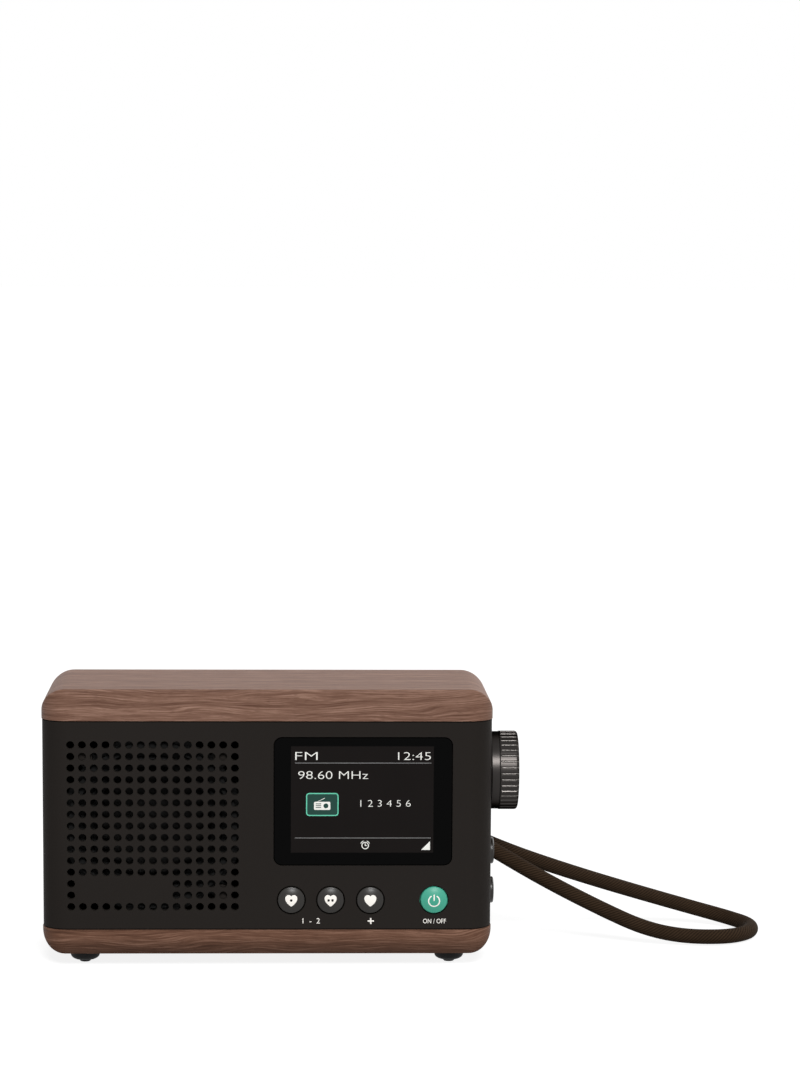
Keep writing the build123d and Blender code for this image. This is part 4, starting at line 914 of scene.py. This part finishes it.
def makeFluting():
    # presses round-ended grooves into a turned blank, side by side round the knob's axis
    tree, gin, out = startGrowth("fluting", (
        ("Grooves", "Int", 40), ("Depth", "Float", 0.5), ("Share", "Float", 0.25), ("Phase", "Float", 0.0),
        ("Start", "Float", 0.0), ("Run in", "Float", 0.5), ("Inner radius", "Float", 10.0),
        ("Axis", "Vector", (0, 0, 0)), ("Material", "Material", None)))
    position = tree.nodes.new("GeometryNodeInputPosition").outputs[0]
    x, y, z = separate(tree, vectorMath(tree, "SUBTRACT", position, gin["Axis"]))
    x = calc(tree, "DIVIDE", x, mm)
    radius = calc(tree, "SQRT", plus(tree, times(tree, y, y), times(tree, z, z)))
    angle = calc(tree, "DEGREES", calc(tree, "ARCTAN2", z, y))
    turn = minus(tree, angle, gin["Phase"])
    turn = calc(tree, "DIVIDE", times(tree, turn, gin["Grooves"]), 360.0)
    off = calc(tree, "ABSOLUTE", minus(tree, turn, calc(tree, "ROUND", turn)))
    off = calc(tree, "DIVIDE", off, times(tree, gin["Share"], 0.5))
    far = calc(tree, "DIVIDE", minus(tree, x, gin["Start"]), gin["Run in"])
    far = minus(tree, 1.0, calc(tree, "MINIMUM", calc(tree, "MAXIMUM", far, 0.0), 1.0))
    away = plus(tree, times(tree, off, off), times(tree, far, far))
    dip = calc(tree, "SQRT", calc(tree, "MAXIMUM", minus(tree, 1.0, away), 0.0))
    # the grooves fade out over the rounded front edge
    outer = mapRange(tree, calc(tree, "DIVIDE", radius, mm), gin["Inner radius"],
                     plus(tree, gin["Inner radius"], 0.7))
    depth = times(tree, gin["Depth"], mm)
    dip = times(tree, times(tree, dip, outer), depth)
    share = calc(tree, "DIVIDE", times(tree, dip, -1.0), calc(tree, "MAXIMUM", radius, 0.0001))
    inward = vectorMath(tree, "SCALE", combine(tree, 0.0, y, z), share)
    marked = addNode(tree, "GeometryNodeStoreNamedAttribute", Geometry=gin["Geometry"], Name="groove",
                     Value=calc(tree, "DIVIDE", dip, depth))
    moved = addNode(tree, "GeometryNodeSetPosition", Geometry=marked.outputs[0], Offset=inward)
    endGrowth(tree, moved.outputs[0], gin["Material"], out)
    return tree


def makeGroovePaintedHighlight(material, bare, edge):
    # a painted highlight: the groove floors get a lighter colour
    tree = material.node_tree
    bsdf = tree.nodes["Principled BSDF"]
    mark = tree.nodes.new("ShaderNodeAttribute")
    mark.attribute_name = "groove"
    plain = bsdf.inputs["Base Color"].links[0].from_socket
    share = mapRange(tree, mark.outputs["Fac"], *edge)
    tree.links.new(mixColor(tree, share, plain, (*bare, 1)), bsdf.inputs["Base Color"])


def makeKnob(s, f):
    start, step, skirt = s["start"], s["step"], s["skirt"]
    # close rings at both ends of the skirt keep its shading even
    profile = [(s["bore"], s["face"]), (s["bore"], start), (skirt - 0.2, start), (skirt, start + 0.25),
               (skirt, start + 0.35), (skirt, step - 0.35), (skirt, step - 0.25), (skirt - 0.1, step - 0.1),
               (skirt - 0.1, step), (s["radius"] - 0.05, step), (s["radius"], step + 0.08)]
    x = step + 0.3
    while x < s["end"] - s["edge"] - 0.01:
        profile.append((s["radius"], x))
        x += 0.1 if x < f["Start"] + 0.6 else 0.8
    profile += [(s["radius"] - s["edge"] + py, s["end"] - s["edge"] + px)
                for px, py in arc(0, 0, s["edge"], 90, 0, 9)]
    profile += [(r, s["end"]) for r in s["faceRings"]]
    verts, faces = turnedMesh([(0.0, s["face"])] + profile, s["steps"])
    points = [place(vz, s["y"] + vx, s["z"] + vy) for vx, vy, vz in verts]
    blank = newObject("knobBlank", meshFrom("knobBlank", points, faces))
    values = dict(f, Axis=tuple(place(0, s["y"], s["z"])), Material=finishes["knob_metal"])
    makeGroovePaintedHighlight(finishes["knob_metal"], s["bare"], s["bareEdge"])
    mesh = grow("tuning_knob_turned", blank, makeFluting(), values)
    mesh.shade_smooth()
    mesh.set_sharp_from_angle(angle=sharpAngle)
    replaceNode("tuning_knob", mesh, "knob_metal", "knob")


makeKnob(knobSet, flutingSet)
print("stage: knob")


# strap
strapSet = {
    "diameter": 6.2,
    "exit": (91.7, 43.85, 41.58),
    "route": (
        (82.0, 44.0, 47.5), (101.5, 43.7, 35.6), (121.0, 43.3, 24.6), (140.0, 42.8, 15.0), (157.0, 42.3, 7.2),
        (173.0, 42.0, 3.6), (191.6, 41.7, 3.2), (203.7, 51.5, 3.2), (206.4, 66.9, 3.2), (198.5, 80.4, 3.8),
        (183.8, 85.8, 7.0), (163.0, 78.2, 14.2), (141.0, 69.6, 22.1), (119.0, 60.9, 30.5), (98.5, 50.9, 39.3),
        (82.0, 50.4, 46.5),
    ),
}
braidSet = {"Diameter": 6.2, "Step": 0.45, "Sides": 48, "Strands": 16, "Pitch": 22.0, "Relief": 0.07}
weaveSet = {"ribs": 13.0, "perPitch": 15.0, "yarn": 2600.0, "patch": 90.0, "dark": (0.009, 0.0053, 0.0029),
            "light": (0.05, 0.03, 0.017)}


def routeLine(points):
    curve = bpy.data.curves.new("strapLine", "CURVE")
    curve.dimensions = "3D"
    curve.resolution_u = 24
    spline = curve.splines.new("NURBS")
    spline.points.add(len(points) - 1)
    for p, q in zip(spline.points, points):
        p.co = (*place(*q), 1.0)
    spline.order_u = 3
    spline.use_endpoint_u = True
    obj = newObject("strapLine", curve)
    mesh = evaluated(obj)
    line = [v.co.copy() for v in mesh.vertices]
    bpy.data.meshes.remove(mesh)
    return obj, line


def capture(tree, geometry, measure):
    # keeps how far along its curve each point lies
    node = tree.nodes.new("GeometryNodeCaptureAttribute")
    node.capture_items.new("FLOAT", measure)
    tree.links.new(geometry, node.inputs["Geometry"])
    tree.links.new(tree.nodes.new("GeometryNodeSplineParameter").outputs[measure], node.inputs[measure])
    return node.outputs["Geometry"], node.outputs[measure]


def makeBraid():
    # round cover along a line, with shallow strands that cross each other
    tree, gin, out = startGrowth("braidedCover", (
        ("Diameter", "Float", 6.0), ("Step", "Float", 0.5), ("Sides", "Int", 32), ("Strands", "Int", 12),
        ("Pitch", "Float", 20.0), ("Relief", "Float", 0.05), ("Material", "Material", None)))
    even = tree.nodes.new("GeometryNodeResampleCurve")
    even.mode = "LENGTH"
    feed(tree, even.inputs["Curve"], gin["Geometry"])
    feed(tree, even.inputs["Length"], times(tree, gin["Step"], mm))
    ring = addNode(tree, "GeometryNodeCurvePrimitiveCircle", Resolution=gin["Sides"],
                   Radius=times(tree, gin["Diameter"], mm / 2))
    path, along = capture(tree, even.outputs[0], "Length")
    outline, around = capture(tree, ring.outputs[0], "Factor")
    tube = addNode(tree, "GeometryNodeCurveToMesh", Curve=path, Profile_Curve=outline, Fill_Caps=True)
    turn = calc(tree, "DIVIDE", along, times(tree, gin["Pitch"], mm))
    half = times(tree, gin["Strands"], math.pi)
    one = calc(tree, "SINE", times(tree, half, plus(tree, around, turn)))
    two = calc(tree, "SINE", times(tree, half, minus(tree, around, turn)))
    rib = calc(tree, "MAXIMUM", calc(tree, "ABSOLUTE", one), calc(tree, "ABSOLUTE", two))
    sink = times(tree, minus(tree, rib, 1.0), times(tree, gin["Relief"], mm))
    push = vectorMath(tree, "SCALE", tree.nodes.new("GeometryNodeInputNormal").outputs[0], sink)
    moved = addNode(tree, "GeometryNodeSetPosition", Geometry=tube.outputs[0], Offset=push)
    endGrowth(tree, moved.outputs[0], gin["Material"], out)
    return tree


def unwrapTube(mesh, sides, ringsPerPitch):
    uv = mesh.uv_layers.new(name="UVMap")
    for poly in mesh.polygons:
        spots = [v % sides for v in poly.vertices]
        wraps = max(spots) - min(spots) > sides / 2
        for li, vi in zip(poly.loop_indices, poly.vertices):
            u = 1.0 if wraps and vi % sides == 0 else (vi % sides) / sides
            uv.data[li].uv = (u, (vi // sides) / ringsPerPitch)


def makeStrap(s, b, w):
    obj, line = routeLine(s["route"])
    finishes["rope_weave"] = ropeMaterial(w)
    mesh = grow("strap_braid", obj, makeBraid(), dict(b, Material=finishes["rope_weave"]))
    unwrapTube(mesh, b["Sides"], b["Pitch"] / b["Step"])
    mesh.shade_smooth()
    faceOutward(mesh)
    rope = replaceNode("strap_rope", mesh, "rope_weave", "cabinet")


def ropeMaterial(w):
    mat, tree, bsdf, coords = startMaterial("ropeWeave")
    u, v, _ = separate(tree, coords["UV"])
    # fine ribs run slantwise round the rope
    slant = plus(tree, times(tree, u, w["ribs"]), times(tree, v, w["perPitch"]))
    rib = calc(tree, "MULTIPLY_ADD", calc(tree, "SINE", times(tree, slant, 2 * math.pi)), 0.5, 0.5)
    yarn = noise(tree, coords["Object"], w["yarn"])
    patch = noise(tree, coords["Object"], w["patch"])
    uneven = calc(tree, "MULTIPLY_ADD", yarn, 0.5, calc(tree, "MULTIPLY_ADD", patch, 0.5, 0.45))
    tone = times(tree, calc(tree, "MULTIPLY_ADD", rib, 0.7, 0.16), uneven)
    tree.links.new(mixColor(tree, tone, (*w["dark"], 1), (*w["light"], 1)), bsdf.inputs["Base Color"])
    bsdf.inputs["Roughness"].default_value = 0.9
    bsdf.inputs["Specular IOR Level"].default_value = 0.06
    bsdf.inputs["Sheen Weight"].default_value = 0.01
    height = plus(tree, rib, times(tree, yarn, 0.4))
    bump = addNode(tree, "ShaderNodeBump", Strength=0.35, Distance=0.00012, Height=height)
    tree.links.new(bump.outputs["Normal"], bsdf.inputs["Normal"])
    return mat


makeStrap(strapSet, braidSet, weaveSet)
print("stage: strap")


# feet
# sole and rim are (radius, height) points; between them the side curves up by "swell"
footSet = {"x": 74.2, "ys": (11.5, 53.0), "sole": [(0, 0), (1.9, 0), (2.2, 0.25), (2.2, 0.8), (2.5, 0.87)],
           "swell": (3.4, 2.1), "rim": [(6.05, 3.6), (6.2, 4.2), (6.2, 5.4), (0, 5.4)]}


def makeFootTree():
    # one foot set down at each point
    tree, gin, out = startGrowth("setOfFeet", (("Foot", "Object", None), ("Material", "Material", None)))
    foot = tree.nodes.new("GeometryNodeObjectInfo")
    tree.links.new(gin["Foot"], foot.inputs["Object"])
    spots = addNode(tree, "GeometryNodeInstanceOnPoints", Points=gin["Geometry"],
                    Instance=foot.outputs["Geometry"])
    endGrowth(tree, spots.outputs[0], gin["Material"], out)
    return tree


def makeFeet(s):
    (r, h), (out, up) = s["sole"][-1], s["swell"]
    curve = [(r + out * math.sin(math.radians(a)), h + up * (1 - math.cos(math.radians(a))))
             for a in range(10, 86, 15)]
    verts, faces = turnedMesh(s["sole"] + curve + s["rim"], 56)
    one = newObject("footShape", meshFrom("footShape", [Vector(v) * mm for v in verts], faces))
    spots = [place(x, y, 0) for x in (-s["x"], s["x"]) for y in s["ys"]]
    points = newObject("footSpots", meshFrom("footSpots", spots, []))
    values = {"Foot": one, "Material": finishes["soft_rubber"]}
    mesh = grow("rubber_feet_turned", points, makeFootTree(), values)
    shape = one.data
    bpy.data.objects.remove(one)
    bpy.data.meshes.remove(shape)
    mesh.shade_smooth()
    mesh.set_sharp_from_angle(angle=sharpAngle)
    replaceNode("rubber_feet", mesh, "soft_rubber", "cabinet")


makeFeet(footSet)
print("stage: feet")


# speaker's flexing rings
# each profile lists radius, front and back; "still" and "moving" are where the bend starts and ends
flexSet = {
    "speaker_spider": {
        "profile": ((19.0, 9.8, 10.2), (16.4, 9.8, 10.2), (14.8, 8.9, 9.3), (13.2, 9.8, 10.2),
                    (11.6, 8.9, 9.3), (9.55, 9.8, 10.2)),
        "still": 16.0, "moving": 9.9, "slot": "spider_cloth"},
    "speaker_surround": {
        "profile": ((30.4, 0.7, 1.2), (28.2, 0.7, 1.2), (27.9, -0.3, 0.4), (26.9, -0.9, -0.3),
                    (25.9, -0.3, 0.4), (25.6, 0.7, 1.2), (23.8, 0.7, 1.2)),
        "still": 28.0, "moving": 25.6, "slot": "soft_rubber"},
}
flexCut = {"sectors": 16, "steps": 5}


def makeFlexRing(node, s, cut):
    # the ring gives way between frame and cone; it is built as sectors round its axis, each a piece of its
    # own
    low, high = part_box(node)
    middle = (low + high) / 2
    front = low.y - min(row[1] for row in s["profile"]) * mm
    outline = [(r, f) for r, f, _ in s["profile"]] + [(r, b) for r, _, b in reversed(s["profile"])]
    n, rows = len(outline), len(s["profile"])
    for k in range(cut["sectors"]):
        turns = [math.tau * (k + i / cut["steps"]) / cut["sectors"] for i in range(cut["steps"] + 1)]
        verts = [(middle.x + r * mm * math.cos(a), front + y * mm, middle.z + r * mm * math.sin(a))
                 for a in turns for r, y in outline]
        faces = [(i * n + j, i * n + (j + 1) % n, (i + 1) * n + (j + 1) % n, (i + 1) * n + j)
                 for i in range(cut["steps"]) for j in range(n)]
        for base in (0, cut["steps"] * n):
            faces += [(base + j, base + j + 1, base + n - 2 - j, base + n - 1 - j) for j in range(rows - 1)]
        name = "%s_%d" % (node, k + 1)
        piece = newObject(name, meshFrom(name, verts, faces))
        piece.data.set_sharp_from_angle(angle=sharpAngle)
        dress(piece, finishes[s["slot"]])
        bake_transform(piece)
        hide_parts(node)


for node, s in flexSet.items():
    makeFlexRing(node, s, flexCut)
print("stage: speaker rings")
